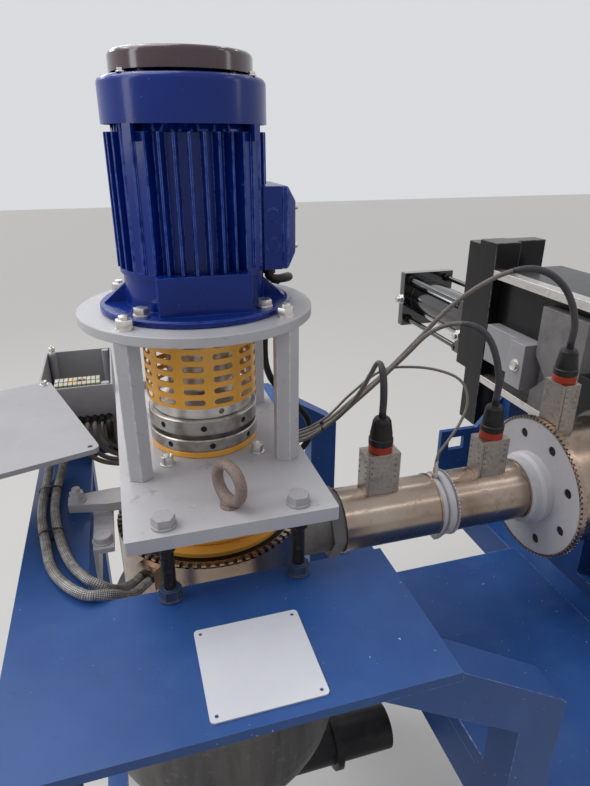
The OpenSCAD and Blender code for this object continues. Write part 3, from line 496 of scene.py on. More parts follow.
def rusted_steel():
    """Forged steel with a skin of brown rust and a few rubbed, darker patches."""
    look = Finish("rusted_steel")
    blots = look.noise(0.012, 8.0, 0.72, 0.4)
    colour = look.mix(blots.band(0.36, 0.6), rgb(132, 122, 118), rgb(150, 126, 116))
    rubbed = look.noise(0.0022, 5.0, 0.7).band(0.5, 0.68) * 0.7
    colour = look.mix(rubbed, colour, rgb(78, 64, 60))
    rough = 0.5 + blots.band(0.36, 0.62) * 0.3
    look.set("Metallic", 0.55 - blots.band(0.4, 0.62) * 0.5)
    return look.done(colour, rough, look.noise(0.002, 5.0, 0.75), 0.0007, 0.8)


def cast_metal(name, yellow_above=None):
    """Rough cast steel with a thin coat of heat and oil, painted yellow above a height if given."""
    look = Finish(name)
    grain = look.noise(0.0022, 3.0, 0.6)
    patch = look.noise(0.07, 5.0, 0.6, 0.3)
    colour = look.mix(patch.band(0.36, 0.66), rgb(124, 122, 122), rgb(96, 92, 90))
    colour = look.mix(patch.band(0.62, 0.8) * 0.6, colour, rgb(78, 62, 50))
    bare = 0.35
    if yellow_above:
        paint = look.axis("Z").band(yellow_above - 0.0004, yellow_above)
        yellow = look.mix(patch.band(0.4, 0.7) * 0.5, rgb(242, 176, 72), rgb(208, 144, 58))
        colour = look.mix(paint, colour, yellow)
        bare = 0.35 - paint * 0.35
    look.set("Metallic", bare)
    return look.done(colour, 0.48 + patch * 0.2, grain, 0.0003, 0.6)


def vessel_film():
    """The pellet chamber's steel under a film of plastic dust and dried drips."""
    look = Finish("vessel_film", metallic=0.5)
    drips = look.noise(0.06, 5.0, 0.6, 0.4, (1, 1, 0.16))
    spots = look.noise(0.014, 4.0, 0.6).band(0.58, 0.72)
    colour = look.mix(drips.band(0.34, 0.66), rgb(112, 109, 107), rgb(76, 73, 72))
    colour = look.mix(spots * 0.3, colour, rgb(144, 139, 132))
    return look.done(colour, 0.34 + drips * 0.3, drips * 0.6 + spots * 0.4, 0.0004, 0.3)


finishes["galvanised"] = zinc_sheet_in_painted_shade()
finishes["rusty_steel"] = rusted_steel()
finishes["cast_grey"] = cast_metal("cast_metal")
finishes["film_grey"] = vessel_film()
print(len(finishes), "finishes with these four")

# %% [markdown]
# Each stretch of the jacking studs was painted with what is beside it: grey above the head plate,
# blue round the nuts on the table, and bare black steel between. The height of a point tells which,
# and a sine along it gives the thread.

# %% The jacking studs
THREAD_PITCH = 0.002
BLUE_LOW = 0.0165
BLUE_HIGH = 0.0175


def studs_in_three_paints():
    """The jacking studs: black oxide between the plates, and painted over with each plate."""
    look = Finish("stud_steel", specular_ior_level=0.35)
    height = look.axis("Z")
    table_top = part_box("table_plate")[1].z
    grey_part = height.band(deck - MM, deck)
    blue_part = 1 - height.band(table_top + BLUE_LOW, table_top + BLUE_HIGH)
    wear = look.noise(0.005, 6.0, 0.7).band(0.5, 0.68)
    rubbed = look.attribute("edge") * look.noise(0.01, 4.0).band(0.3, 0.5)
    colour = look.mix(wear * 0.4, rgb(50, 47, 46), rgb(104, 98, 94))
    colour = look.mix(grey_part, colour, look.mix(wear * 0.4, rgb(170, 168, 172), rgb(132, 122, 114)))
    colour = look.mix(blue_part, colour, look.mix(wear * 0.5, rgb(50, 62, 90), rgb(88, 94, 106)))
    colour = look.mix(rubbed * 0.5, colour, rgb(140, 146, 156))
    bare = (1 - grey_part) * (1 - blue_part)
    look.set("Metallic", bare * 0.8)
    rough = 0.34 + grey_part * 0.14 + wear * 0.2 + blue_part * 0.14
    thread = (height * (math.tau / THREAD_PITCH)).sine()
    return look.done(colour, rough, thread * 0.5 * bare, 0.0004, 0.5)


finishes["black_oxide"] = studs_in_three_paints()
print(len(finishes), "finishes with the studs")

# %% [markdown]
# Moulded plastic has a fine grain and goes grey with dust. The braid follows every bend, because its
# pattern reads the UV map along the lead: two sets of strands cross over and under each other.

# %% Plastics and braids
def moulded(name, tone, dust, roughness=0.45, dusty=0.4):
    """Moulded plastic or rubber with a film of dust."""
    look = Finish(name, specular_ior_level=0.3)
    film = look.noise(0.03, 6.0, 0.65).band(0.46, 0.74) * dusty
    colour = look.mix(film, tone, dust)
    return look.done(colour, roughness + film * 0.3, look.noise(0.0014, 3.0), 0.00012)


def braided(name, strand, gap, metallic, pitch, patchy=0.0):
    """Crossing strands, darkened in patches where grease has crept in."""
    look = Finish(name)
    place = look.node("ShaderNodeTexCoord", output="UV")
    turns = math.tau / pitch
    u = look.axis("X", place) * turns
    v = look.axis("Y", place) * turns
    strands = ((u + v).sine() * (u - v).sine()).band(-0.5, 0.6)
    grime = look.noise(0.03, 6.0, 0.7).band(0.42, 0.7)
    greasy = look.noise(0.011, 5.0, 0.72).band(0.4, 0.6) * patchy
    colour = look.mix(grime * 0.5 + greasy, look.mix(strands, gap, strand), gap)
    look.set("Metallic", strands * metallic)
    return look.done(colour, 0.55 - strands * 0.2 + grime * 0.2, strands, 0.0005, 0.7)


finishes.update({
    "black_plastic": moulded("black_moulding", rgb(22, 21, 23), rgb(70, 66, 63), 0.42, 0.34),
    "red_plastic": moulded("red_moulding", rgb(162, 50, 26), rgb(112, 60, 44)),
    "terminal_beige": moulded("terminal_moulding", rgb(186, 184, 160), rgb(140, 136, 118)),
    "black_rubber": moulded("cable_rubber", rgb(22, 22, 24), rgb(60, 57, 55), 0.5, 0.26),
    "grey_rubber": moulded("sleeve_rubber", rgb(62, 61, 65), rgb(96, 92, 90), 0.5, 0.3),
    "grey_braid": braided("grey_braid", rgb(150, 142, 134), rgb(84, 78, 72), 0.1, 0.0022),
    "steel_braid": braided("steel_braid", rgb(220, 217, 212), rgb(66, 62, 60), 0.35, 0.0046, 0.45),
})
print(len(finishes), "finishes in all")

# %% [markdown]
# Every CAD node takes the finish of its slot in the record. A few need one of their own: the die
# head's top ring is yellow down to a line, the head heater's sheet is darker within a ring, the ring
# nuts are oily, the hub and the cylinder are each another paint, and the clamp block's grey paint is
# darkened as painted shade.

# %% Finishes on the nodes
YELLOW_DEPTH = 0.0075
DARK_RING_RADIUS = 0.1325
DARK_RING_DEPTH = 0.0035
ring_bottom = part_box("cutter_ring")[0].z
heater_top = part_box("head_heater")[1].z
SPECIAL = {
    "die_head": cast_metal("die_head_metal", ring_bottom - YELLOW_DEPTH),
    "head_heater": hot_skin("head_heater_sheet", (DARK_RING_RADIUS, heater_top - DARK_RING_DEPTH)),
    "inlet_hub": painted("hub_paint", rgb(96, 95, 98), rgb(80, 79, 82), rgb(122, 118, 114), 0.42, 0.1,
        nick=rgb(150, 147, 145), gloss=0.4),
    "ring_nuts": turned_steel("oily_steel", 0.45),
    # The clamp block's grey is darker than the stand's: painted shade over its real grey paint.
    "clamp_block": painted("block_paint_with_painted_shade", rgb(148, 146, 149), rgb(132, 130, 133), rgb(160, 156, 152),
        0.4, 0.15, nick=rgb(160, 157, 156), gloss=0.4),
    "hydraulic_cylinder": painted("gloss_black", rgb(13, 13, 14), rgb(9, 9, 10), rgb(58, 55, 53), 0.12, 1.0,
        nick=rgb(120, 114, 110), dusty=0.14, grease=0.1, peel=0.00006, edge=0.6),
}


def dress(piece, slot, node=None):
    """Gives a piece the finish of its slot, or the one that only its node has."""
    piece.data.materials.clear()
    piece.data.materials.append(SPECIAL.get(node, finishes[slot]))


for node, thing in frame["nodes"].items():
    dress(thing, slot_of[node], node)
for node in ROUTES:
    dress(bpy.data.objects[node + "_braid"], slot_of[node])
print(len(frame["nodes"]), "nodes dressed,", len(SPECIAL), "in a finish of their own")

# %% [markdown]
# A real edge has a small radius, and the bright line along it is what the eye expects. So a copy of
# the node is merged, its flat faces are joined and its sharp edges are bevelled. An operator does it
# and no modifier, because the new narrow faces can then carry the attribute that the paint reads
# for wear. The posts end just under the top of the motor's disc, where nuts take over.

# %% Rounded edges
SAME_POINT = 2e-6
FLAT = math.radians(0.5)
SHARP = math.radians(32)
CREASE = math.radians(50)
POST_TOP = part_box("motor_plate")[1].z - MM
EDGE_RADII = {
    "table_plate": 1.6, "table_frame": 3, "table_necks": 2.2, "base_frame": 2.5, "base_tray": 1.2,
    "sign_plate": 0.5, "head_plate": 1.4, "stand_posts": 1.2, "motor_end_shield": 1.4, "motor_stator": 0.9,
    "motor_rear_shield": 0.8, "terminal_box": 1.2, "terminal_lid": 2.2, "clamp_block": 1.4,
    "changer_body": 3, "changer_yoke": 2, "changer_rails": 1, "changer_cover": 1,
    "hydraulic_cylinder": 1.2, "junction_box": 0.8, "junction_lid": 1.8, "head_bracket": 1.2,
    "heater_boxes": 0.6, "terminal_strip": 0.5, "jack_studs": 0.8,
}


def rounded(node, radius, top=None):
    """A copy of a CAD node with its sharp edges rounded, cut off at top if given."""
    bm = bmesh.new()
    bm.from_mesh(frame["nodes"][node].data)
    bmesh.ops.remove_doubles(bm, verts=bm.verts, dist=SAME_POINT)
    if top:
        bmesh.ops.bisect_plane(bm, geom=bm.verts[:] + bm.edges[:] + bm.faces[:], plane_co=(0, 0, top),
                plane_no=(0, 0, 1), clear_outer=True)
        bmesh.ops.holes_fill(bm, edges=[e for e in bm.edges if e.is_boundary], sides=0)
    bmesh.ops.dissolve_limit(bm, angle_limit=FLAT, verts=bm.verts, edges=bm.edges)
    sharp = [e for e in bm.edges if len(e.link_faces) == 2 and e.calc_face_angle() > SHARP]
    worn = bm.faces.layers.float.new("edge")
    made = bmesh.ops.bevel(bm, geom=sharp, offset=radius, offset_type="OFFSET", segments=2, profile=0.5,
            affect="EDGES", clamp_overlap=True, material=-1)
    for face in made["faces"]:
        face[worn] = 1.0
    piece = keep(node + "_rounded", mesh_from(bm, node + "_rounded", CREASE))
    weighted = piece.modifiers.new("weighted normals", "WEIGHTED_NORMAL")
    weighted.keep_sharp = True
    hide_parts(node)
    dress(piece, slot_of[node], node)
    return piece


for node, radius in EDGE_RADII.items():
    made = rounded(node, radius * MM, POST_TOP if node == "stand_posts" else None)
    print(node, len(made.data.polygons), "faces")

# %% [markdown]
# Screws, nuts and rivets repeat, so a master of each is made once, standing on the origin and
# pointing up. Its chamfers are shares of its own size, so one recipe fits all. Sizes are in metres.

# %% Masters of the fasteners
WASHER_SIDES = 28
HEAD_SIDES = 24
STUD_SIDES = 20
WASHER_CHAMFER = 0.25
HEX_CHAMFER = 0.12
STUD_CHAMFER = 0.08
CAP_CHAMFER = 0.06
TINY = 1e-7


def prism(bm, sides, radius, low, high, chamfer=0.0, turn=0.0):
    """A prism or a disc from low to high, its top edge chamfered."""
    matrix = Matrix.Translation((0, 0, (low + high) / 2)) @ Matrix.Rotation(turn, 4, "Z")
    made = bmesh.ops.create_cone(bm, cap_ends=True, segments=sides, radius1=radius, radius2=radius,
            depth=high - low, matrix=matrix)
    if chamfer:
        edges = dict.fromkeys(e for v in made["verts"] for e in v.link_edges)
        rim = [e for e in edges if all(abs(v.co.z - high) < TINY for v in e.verts)]
        bmesh.ops.bevel(bm, geom=rim, offset=chamfer, offset_type="OFFSET", segments=2, profile=0.5,
                affect="EDGES", material=-1)


def washer_on(bm, width, thick):
    if width:
        prism(bm, WASHER_SIDES, width / 2, 0, thick, thick * WASHER_CHAMFER)


def hex_screw(flats, height, washer=0.0, thick=0.0, stud=0.0, stud_up=0.0):
    """A hexagon head or nut, with a washer under it and the end of its stud above it."""
    bm = bmesh.new()
    washer_on(bm, washer, thick)
    prism(bm, 6, flats / 2 / math.cos(math.pi / 6), thick, thick + height, height * HEX_CHAMFER)
    if stud:
        prism(bm, STUD_SIDES, stud / 2, thick + height * 0.5, thick + height + stud_up, stud * STUD_CHAMFER)
    return bm


def cap_screw(head, height, socket, depth, washer=0.0, thick=0.0):
    """A round head with a socket sunk into it, and a washer under it."""
    bm = bmesh.new()
    washer_on(bm, washer, thick)
    chamfer = height * CAP_CHAMFER
    prism(bm, HEAD_SIDES, head / 2, thick, thick + height, chamfer)
    top = max(bm.faces, key=lambda face: face.calc_center_median().z)
    bmesh.ops.inset_region(bm, faces=[top], thickness=(head - socket) / 2 - chamfer)
    bmesh.ops.translate(bm, verts=top.verts, vec=(0, 0, -depth))
    return bm


def dome(width, height):
    """A rivet's round head."""
    bm = bmesh.new()
    bmesh.ops.create_uvsphere(bm, u_segments=8, v_segments=4, radius=width / 2)
    below = [v for v in bm.verts if v.co.z < -SAME_POINT]
    bmesh.ops.delete(bm, geom=below, context="VERTS")
    bmesh.ops.holes_fill(bm, edges=[e for e in bm.edges if e.is_boundary], sides=0)
    bmesh.ops.scale(bm, verts=bm.verts, vec=(1, 1, 2 * height / width))
    return bm


def disc(width, thick):
    """A flat disc just under the origin."""
    bm = bmesh.new()
    prism(bm, STUD_SIDES, width / 2, -thick, 0)
    return bm

# %% [markdown]
# A master is then stamped wherever the machine has one: pointing out of its face, and with a small
# turn of its own, because a wrench leaves every hexagon at another angle. The stamps of one kind
# become one piece.

# %% Stamping a master
UP = (0, 0, 1)
DOWN = (0, 0, -1)
LEFT = (-1, 0, 0)
RIGHT = (1, 0, 0)
FRONT = (0, -1, 0)
BACK = (0, 1, 0)
SMALL_CREASE = math.radians(35)


def facing(direction):
    """The turn that points a master's top in a direction."""
    return Vector(direction).to_track_quat("Z", "Y").to_matrix().to_4x4()


def stamp(name, master, places, slot="bright_steel"):
    """A copy of the master at each (point, direction, turn in degrees), all as one piece."""
    seed = mesh_from(master, "seed")
    whole = bmesh.new()
    for point, direction, turn in places:
        matrix = Matrix.Translation(point) @ facing(direction) @ Matrix.Rotation(math.radians(turn), 4, "Z")
        before = len(whole.verts)
        whole.from_mesh(seed)
        whole.verts.ensure_lookup_table()
        bmesh.ops.transform(whole, matrix=matrix, verts=whole.verts[before:])
    bpy.data.meshes.remove(seed)
    piece = keep(name, mesh_from(whole, name, SMALL_CREASE))
    dress(piece, slot)
    print(name, len(places), "copies,", len(piece.data.polygons), "faces")


def at_corners(x, y, z, first_turn, step):
    """Places at four corners round the shaft, each fastener turned a step further."""
    points = [at(sx * x, sy * y, z) for sx in (-1, 1) for sy in (-1, 1)]
    return [(point, UP, first_turn + step * i) for i, point in enumerate(points)]


def polar(radius, angle, z):
    """A point on a circle round the shaft."""
    return at(radius * math.cos(angle), radius * math.sin(angle), z)

# %% [markdown]
# The motor's flange is held by four bright screws, and each post ends in a bright nut on its stud.
# Socket screws hold the yellow collar down, and small ones the canopy and the terminal box's lid.

# %% Screws and nuts of the stand
FLANGE_BOLT = 107.5 * math.cos(math.pi / 4)
FLANGE_TOP = 208
DISC_TOP = 199
POST_REACH = 98
COLLAR_BOLT = (62, 76)
CANOPY_BOLT = 90.5
CANOPY_LEDGE = 469
LID_FACE = 131

stamp("flange_screws", hex_screw(0.017, 0.0075, 0.021, 0.0022),
      at_corners(FLANGE_BOLT, FLANGE_BOLT, FLANGE_TOP, 11, 23))
stamp("post_nuts", hex_screw(0.0185, 0.0105, 0.021, 0.002, 0.012, 0.004),
      at_corners(POST_REACH, POST_REACH, DISC_TOP, 4, 17))
stamp("collar_screws", cap_screw(0.016, 0.011, 0.009, 0.006, 0.02, 0.002),
      at_corners(*COLLAR_BOLT, 0, 0, 8))
stamp("canopy_screws", hex_screw(0.007, 0.003, 0.011, 0.001),
      [(polar(CANOPY_BOLT, math.radians(degrees), CANOPY_LEDGE), UP, 20) for degrees in (38, 142, 218, 322)])
stamp("lid_screws", cap_screw(0.008, 0.004, 0.004, 0.002),
      [(at(LID_FACE, y, z), RIGHT, 0) for y in (-24, 24) for z in (274, 323)])

# %% [markdown]
# The steady bracket on the table's left wing has one nut on a stud and one large round head, both
# painted over with the bracket. The heater bands are drawn together by screws through their lugs,
# and nuts close the hydraulic cylinder's tie rods.

# %% Screws of the bracket, the heater bands and the cylinder
PIPE_DROP = -198
BANDS = ((214, 390, 108), (420, 566, 108), (621, 776, 230))
LUG_INSET = 26
LUG_FACE = 7
LUG_DROP = 3
ROD_REACH = 66
ROD_MIDDLE = (890, -90)
ROD_ENDS = ((642, BACK), (957, FRONT))

stamp("bracket_nut", hex_screw(0.019, 0.011, 0.026, 0.0025, 0.012, 0.007),
      [(at(-193, 15, -90), UP, 12)], "grey_paint")
stamp("bracket_round_head", cap_screw(0.025, 0.008, 0.012, 0.001, 0.03, 0.002),
      [(at(-158.5, -71, -108), UP, 0)], "grey_paint")
stamp("clamp_block_screw", cap_screw(0.024, 0.006, 0.012, 0.003, 0.03, 0.002),
      [(at(778, 318, -88), LEFT, 15)])
lug_places = []
for start, end, width in BANDS:
    for x in (start + LUG_INSET, end - LUG_INSET):
        for y, direction in ((-LUG_FACE, FRONT), (LUG_FACE, BACK)):
            lug_places.append((at(x, y, PIPE_DROP - width / 2 - LUG_DROP), direction, 9))
stamp("lug_screws", hex_screw(0.008, 0.005), lug_places)
tie_nuts = []
for y, direction in ROD_ENDS:
    for sx, sz in ((-1, -1), (-1, 1), (1, -1), (1, 1)):
        place = at(ROD_MIDDLE[0] + sx * ROD_REACH, y, ROD_MIDDLE[1] + sz * ROD_REACH)
        tie_nuts.append((place, direction, 14 * sx + 5 * sz))
stamp("tie_rod_nuts", hex_screw(0.024, 0.013), tie_nuts, "dark_paint")
stamp("port_plugs", hex_screw(0.027, 0.009, 0.032, 0.003, 0.018, 0.009),
      [(at(802, 967, -90), LEFT, 0), (at(814, 622, -112), LEFT, 10)])

# %% [markdown]
# The screen changer is a stack of thick steel blocks, drawn together by large socket screws. The
# photo shows only its left side, so the screws of the other sides follow what such a block needs:
# one near each corner, and a row along each long edge. The frame's boxes give every face.

# %% Screws in the faces of the screen changer
BIG_SCREW = (0.024, 0.015, 0.014, 0.008)
INSET = 0.024
BLOCK_REACH = 0.126
RAIL_INSET = 0.04
RAIL_SCREWS = 4
YOKE_DROPS = (0.034, 0.3)
block_low, block_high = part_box("changer_body")
rail_low, rail_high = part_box("changer_rails")
yoke_low, yoke_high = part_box("changer_yoke")
pipe_height = at(0, 0, PIPE_DROP).z
block_screws = []
for z in (pipe_height - BLOCK_REACH, pipe_height + BLOCK_REACH):
    for x in (block_low.x + INSET, block_high.x - INSET):
        block_screws.append((Vector((x, block_low.y, z)), FRONT, 11))
    for y in (block_low.y + INSET, rail_low.y - MM - INSET):
        block_screws.append((Vector((block_high.x, y, z)), RIGHT, 25))
rail_step = (rail_high.y - rail_low.y - 2 * RAIL_INSET) / (RAIL_SCREWS - 1)
for k in range(RAIL_SCREWS):
    y = rail_low.y + RAIL_INSET + k * rail_step
    for z in (rail_low.z + INSET, rail_high.z - INSET):
        block_screws.append((Vector((block_high.x, y, z)), RIGHT, 9 + 14 * k))
stamp("block_screws", cap_screw(*BIG_SCREW), block_screws, "dark_paint")
plate_screws = [(Vector((x, yoke_high.y, yoke_high.z - drop)), BACK, 30)
        for x in (yoke_low.x + INSET, yoke_high.x - INSET) for drop in YOKE_DROPS]
stamp("plate_screws", cap_screw(*BIG_SCREW), plate_screws, "dark_paint")

# %% [markdown]
# Each heater's terminal housing is folded from zinc sheet, and a row of rivets runs along every
# upright edge.

# %% Rivets on the heater housings
HOUSINGS = ((288, 60, 36, -73), (500, 55, 36, -78), (634, 36, 48, 12))
RIVET_ROWS = 4
RIVET_STEP = 11
RIVET_TOP = 10
FRONT_INSET = 9
SIDE_INSET = 5
SHEET = 1.2
rivets = []
for x, wide, deep, top in HOUSINGS:
    for k in range(RIVET_ROWS):
        z = top - RIVET_TOP - RIVET_STEP * k
        for s in (-1, 1):
            edge_x = x + s * (wide / 2 - FRONT_INSET)
            edge_y = s * (deep / 2 - SIDE_INSET)
            for y, direction in ((-deep / 2 - SHEET, FRONT), (deep / 2 + SHEET, BACK)):
                rivets.append((at(edge_x, y, z), direction, 0))
            for side, direction in ((x - wide / 2, LEFT), (x + wide / 2, RIGHT)):
                rivets.append((at(side, edge_y, z), direction, 0))
stamp("housing_rivets", dome(0.0036, 0.0012), rivets, "cast_grey")

# %% [markdown]
# The junction box stands open: its lid hangs at one corner and a thumb screw waits in the opposite
# one. The row of terminals has two screws and a small coloured tab in each block, and each lead
# enters through a gland nut.

# %% Small parts of the junction box
BLOCK = 7.8
BLOCKS = 10
STRIP_LEFT = -228
STRIP_TOP = 2.4
SCREW_ROWS = (254, 274)
TAB_ROW = 264
TAB_SLOTS = {"white_plate": (0, 1, 2, 7, 8, 9), "yellow_paint": (3, 4), "motor_blue": (5,),
        "red_plastic": (6,)}
SMALL_GLANDS = (-188, -176, -164, -152, -140)
LARGE_GLANDS = (-232, -210)
GLAND_FACE = 202


def on_block(i, y):
    """A point on top of one block in the row of terminals."""
    return at(STRIP_LEFT + BLOCK * (i + 0.48), y, STRIP_TOP)


stamp("thumb_screw", hex_screw(0.011, 0.008, 0.014, 0.006, 0.005, 0.003),
      [(at(-238, 393, 15), UP, 0)])
stamp("lid_screw", cap_screw(0.01, 0.005, 0.005, 0.003, 0.013, 0.001),
      [(at(-238, 214, 22), UP, 0)])
stamp("terminal_screws", cap_screw(0.0044, 0.001, 0.002, 0.0006),
      [(on_block(i, y), UP, 30 * i) for i in range(BLOCKS) for y in SCREW_ROWS])
for tab_slot, blocks in TAB_SLOTS.items():
    tab = bmesh.new()
    prism(tab, 4, 0.0038, 0, 0.003, 0.0005, math.pi / 4)
    stamp("marker_tabs_" + tab_slot, tab, [(on_block(i, TAB_ROW), UP, 0) for i in blocks], tab_slot)
stamp("gland_nuts", hex_screw(0.0116, 0.006),
      [(at(x, GLAND_FACE, -45), FRONT, 0) for x in SMALL_GLANDS], "black_plastic")
stamp("large_gland_nuts", hex_screw(0.02, 0.007),
      [(at(x, GLAND_FACE, -37), FRONT, 0) for x in LARGE_GLANDS] + [(at(102, 0, 247), DOWN, 0)],
      "black_plastic")

# %% [markdown]
# The forged lifting eye is a fat ring on a low collar, turned away from the front. A circle spun
# round the ring's middle makes it. The bar is a little wider than thick, and swells at its foot.

# %% Lifting eye
EYE_PLACE = (0, -196, 0)
EYE_TURN = math.radians(-64)
EYE_RING = 0.0234
EYE_BAR = 0.0067
EYE_SWELL = 0.35
eye = bmesh.new()
bar = bmesh.ops.create_circle(eye, segments=20, radius=EYE_BAR, matrix=Matrix.Translation((EYE_RING, 0, 0)))
bmesh.ops.scale(eye, verts=bar["verts"], vec=(1, 1.1, 1))
bmesh.ops.spin(eye, geom=eye.verts[:] + eye.edges[:], cent=(0, 0, 0), axis=(0, 1, 0), angle=math.tau,
        steps=40, use_merge=True)
bmesh.ops.remove_doubles(eye, verts=eye.verts, dist=1e-6)
bmesh.ops.recalc_face_normals(eye, faces=eye.faces)
for vert in eye.verts:
    low = max(0.0, -vert.co.z / (EYE_RING + EYE_BAR))
    vert.co.y *= 1 + EYE_SWELL * low ** 4
bmesh.ops.translate(eye, verts=eye.verts, vec=(0, 0, EYE_RING + EYE_BAR + MM))
prism(eye, 32, 0.0125, 0, 0.003, 0.001)
prism(eye, 24, 0.0095, 0.002, 0.006, 0.0012)
eye_place = Matrix.Translation(at(*EYE_PLACE)) @ Matrix.Rotation(EYE_TURN, 4, "Z")
bmesh.ops.transform(eye, verts=eye.verts, matrix=eye_place)
lifting_eye = keep("lifting_eye", mesh_from(eye, "lifting_eye", CREASE))
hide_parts("eye_bolt")
dress(lifting_eye, "rusty_steel")
print("lifting eye", len(lifting_eye.data.polygons), "faces")

# %% [markdown]
# The spanner holes of the ring nuts and the bolt holes of the pipe's flange look black inside. A
# thin black disc closes each hole a little below its mouth: painted shade for the hole's depth.

# %% Painted shade in the holes
HOLES = 8
SHADE_DISC_THICK = 0.002
NUT_HOLE_RADIUS = 74.5
NUT_HOLE_ROWS = ((18.5, 0), (45.5, -8))
FLANGE_HOLE_RADIUS = 101
FLANGE_HOLE_X = 605
spanner_holes = []
for height, turn in NUT_HOLE_ROWS:
    for k in range(HOLES):
        a = math.radians(turn + 45 * k)
        spanner_holes.append((polar(NUT_HOLE_RADIUS, a, height), (math.cos(a), math.sin(a), 0), 0))
# Black discs in the spanner holes: painted shade.
stamp("spanner_hole_painted_shade", disc(0.0084, SHADE_DISC_THICK), spanner_holes, "black_rubber")
bolt_holes = []
for k in range(HOLES):
    a = math.radians(22.5 + 45 * k)
    place = at(FLANGE_HOLE_X, FLANGE_HOLE_RADIUS * math.cos(a), PIPE_DROP + FLANGE_HOLE_RADIUS * math.sin(a))
    bolt_holes.append((place, LEFT, 0))
# Black discs in the flange's bolt holes: painted shade.
stamp("bolt_hole_painted_shade", disc(0.0178, SHADE_DISC_THICK), bolt_holes, "black_rubber")

# %% [markdown]
# A long grey sleeve guards each heater lead where it leaves its plug: a wider tube along the same
# line, tapered at its end. It is grey rubber, as the real sleeve has faded from black.

# %% Sleeves
SLEEVE_RADIUS = 0.006
SLEEVE_WALL = 0.0006
TAPER_STEPS = 3


def sleeve(name, node, reach):
    """A strain relief over the first stretch of a lead, tapered at its end."""
    line = [LINES[node][0]]
    run = 0.0
    for a, b in zip(LINES[node], LINES[node][1:]):
        run += (b - a).length
        line.append(b)
        if run > reach:
            break
    tip = ROUTES[node][0] * MM / 2 + SLEEVE_WALL
    last = len(line) - 1
    radii = [SLEEVE_RADIUS + (tip - SLEEVE_RADIUS) * max(0.0, (k - last + TAPER_STEPS) / TAPER_STEPS)
            for k in range(last + 1)]
    dress(keep(name, tube(line, SLEEVE_RADIUS, radii)), "grey_rubber")
    print(name, round(run, 3), "m long")


for i, reach in ((1, 0.085), (2, 0.165), (3, 0.2)):
    sleeve(f"lead_sleeve_{i}", f"heater_lead_{i}", reach)

# %% [markdown]
# Black ties hold the leads side by side. A tie is an oval band square to the leads, just wide enough
# for the first and the last of them, with a small square lock. The leads' own lines say where they
# are and which way they run.

# %% Cable ties
TIE_WIDTH = 0.0036
TIE_THICK = 0.001
TIE_SLACK = (0.0012, 0.0015)
LOCK = (0.006, 0.005, 0.005)
LOCK_OUT = 0.002


def tie_band(wide, high):
    """An oval band of the given inner width and height round the upright axis, with its lock."""
    bm = bmesh.new()
    made = bmesh.ops.create_circle(bm, segments=24, radius=0.5)
    bmesh.ops.scale(bm, verts=made["verts"], vec=(wide, high, 1))
    grown = bmesh.ops.extrude_edge_only(bm, edges=bm.edges[:])
    upper = [v for v in grown["geom"] if isinstance(v, bmesh.types.BMVert)]
    bmesh.ops.translate(bm, verts=upper, vec=(0, 0, TIE_WIDTH))
    bmesh.ops.recalc_face_normals(bm, faces=bm.faces)
    bmesh.ops.solidify(bm, geom=bm.faces[:], thickness=-TIE_THICK)
    lock_place = Matrix.Translation((0, -high / 2 - LOCK_OUT, TIE_WIDTH / 2))
    bmesh.ops.create_cube(bm, size=1, matrix=lock_place @ Matrix.Diagonal((*LOCK, 1)))
    bmesh.ops.translate(bm, verts=bm.verts, vec=(0, 0, -TIE_WIDTH / 2))
    return bm


def spot_on(node, axis, value):
    """The point of a lead nearest to a given X (axis 0) or Y (axis 1), and the way it runs there."""
    line = LINES[node]
    goal = origin[axis] + value * MM
    i = min(range(1, len(line) - 1), key=lambda k: abs(line[k][axis] - goal))
    return line[i], (line[i + 1] - line[i - 1]).normalized()


def tie_round(name, first_node, last_node, thick, axis, value):
    """A tie round two leads, and the ones that lie between them, at a given X or Y."""
    first, way = spot_on(first_node, axis, value)
    last, _ = spot_on(last_node, axis, value)
    side = last - first
    side = (side - way * side.dot(way)).normalized()
    bm = tie_band((last - first).length + thick + TIE_SLACK[0], thick + TIE_SLACK[1])
    turn = Matrix((side, way.cross(side).normalized(), way)).transposed().to_4x4()
    bmesh.ops.transform(bm, matrix=Matrix.Translation((first + last) / 2) @ turn, verts=bm.verts)
    dress(keep(name, mesh_from(bm, name)), "black_plastic")
    print(name, "round leads", round((last - first).length, 3), "m apart")


tie_round("skin_cable_tie_1", "skin_cable_1", "skin_cable_2", 0.013, 1, 60)
tie_round("skin_cable_tie_2", "skin_cable_1", "skin_cable_2", 0.013, 1, -55)
tie_round("bundle_tie", "heater_lead_1", "heater_lead_3", 0.009, 0, 243)

# %% [markdown]
# A pale floor and surround make a plain studio. The camera and the metal's reflections see the
# surround's pale grey, but it lights the machine with a darker one, so that the lamps shape it.

# %% Floor and surround
FLOOR_HALF = 14
FLOOR_DROP = 0.0005
AMBIENT = (0.31, 0.32, 0.34, 1)
BACKDROP = (0.7, 0.71, 0.73, 1)
floor_bm = bmesh.new()
bmesh.ops.create_grid(floor_bm, x_segments=1, y_segments=1, size=FLOOR_HALF)
floor = put("floor", mesh_from(floor_bm, "floor"))
floor.location.z = -FLOOR_DROP
floor.data.materials.append(Finish("pale_floor", base_color=rgb(198, 196, 192), roughness=0.7).material)

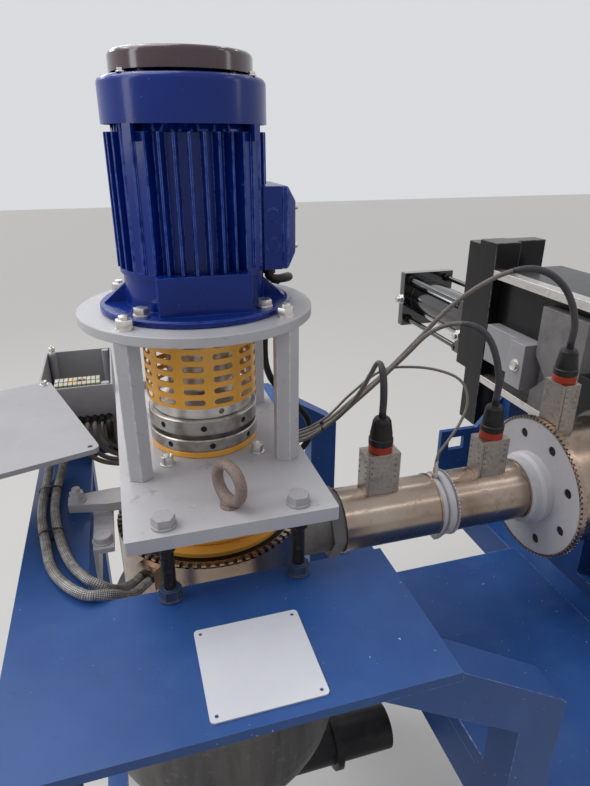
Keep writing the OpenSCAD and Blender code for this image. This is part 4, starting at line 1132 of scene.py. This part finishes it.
world = bpy.data.worlds.new("studio")
bpy.context.scene.world = world
world.use_nodes = True
sky = Nodes(world.node_tree)
camera_ray, glossy_ray, through_ray = (sky.node("ShaderNodeLightPath", output=ray) for ray in (
    "Is Camera Ray", "Is Glossy Ray", "Is Transmission Ray"))
tint = sky.mix(camera_ray.larger(glossy_ray).larger(through_ray), AMBIENT, BACKDROP)
sky.plug(world.node_tree.nodes["Background"].inputs["Color"], tint)
print("floor", 2 * FLOOR_HALF, "m wide")

# %% [markdown]
# The light follows the hall's: most of it comes from above and behind, through long strips in the
# roof and a wide window, and some from the left, so upright faces stay a little darker than level
# ones. The strips also draw the long bright streaks along the heated pipe.

# %% Lamps
MOTOR_SIDE = (150, 0, 0)
CHANGER_SIDE = (100, 0, 0)
PIPE_MIDDLE = (500, 0, PIPE_DROP)
DAYLIGHT = (0.96, 0.98, 1.0)
BACK_DAYLIGHT = (0.97, 0.98, 1.0)
ROOF_STRENGTH = 1.9
ROOF_ANGLE = math.radians(55)
ROOF_DIRECTION = (0.5, -0.34, -1)


def lamp(name, place, aim, watts, width, height, colour=(1, 1, 1)):
    """A soft rectangular lamp that the camera doesn't see."""
    light = bpy.data.lights.new(name, "AREA")
    light.shape = "RECTANGLE"
    light.size = width
    light.size_y = height
    light.energy = watts
    light.color = colour
    thing = put(name, light)
    thing.location = at(*place)
    thing.rotation_euler = (at(*aim) - at(*place)).to_track_quat("-Z", "Y").to_euler()
    thing.visible_camera = False


lamp("window_right", (2600, -900, 1500), MOTOR_SIDE, 7, 0.4, 2.2)
lamp("window_left", (-2600, -300, 1300), MOTOR_SIDE, 18, 0.6, 2.2, DAYLIGHT)
lamp("roof_strip_front", (500, -1900, 2000), PIPE_MIDDLE, 8, 4.0, 0.14)
lamp("window_back", (-900, 3000, 1750), CHANGER_SIDE, 20, 2.8, 0.5, BACK_DAYLIGHT)
lamp("roof_strip_back", (500, 1300, 2300), PIPE_MIDDLE, 9, 4.0, 0.14)
roof = put("roof_light", bpy.data.lights.new("roof_light", "SUN"))
roof.data.energy = ROOF_STRENGTH
roof.data.angle = ROOF_ANGLE
roof.rotation_euler = Vector(ROOF_DIRECTION).to_track_quat("-Z", "Y").to_euler()
bpy.context.scene.view_settings.view_transform = "Standard"
print(len(bpy.data.lights), "lamps")
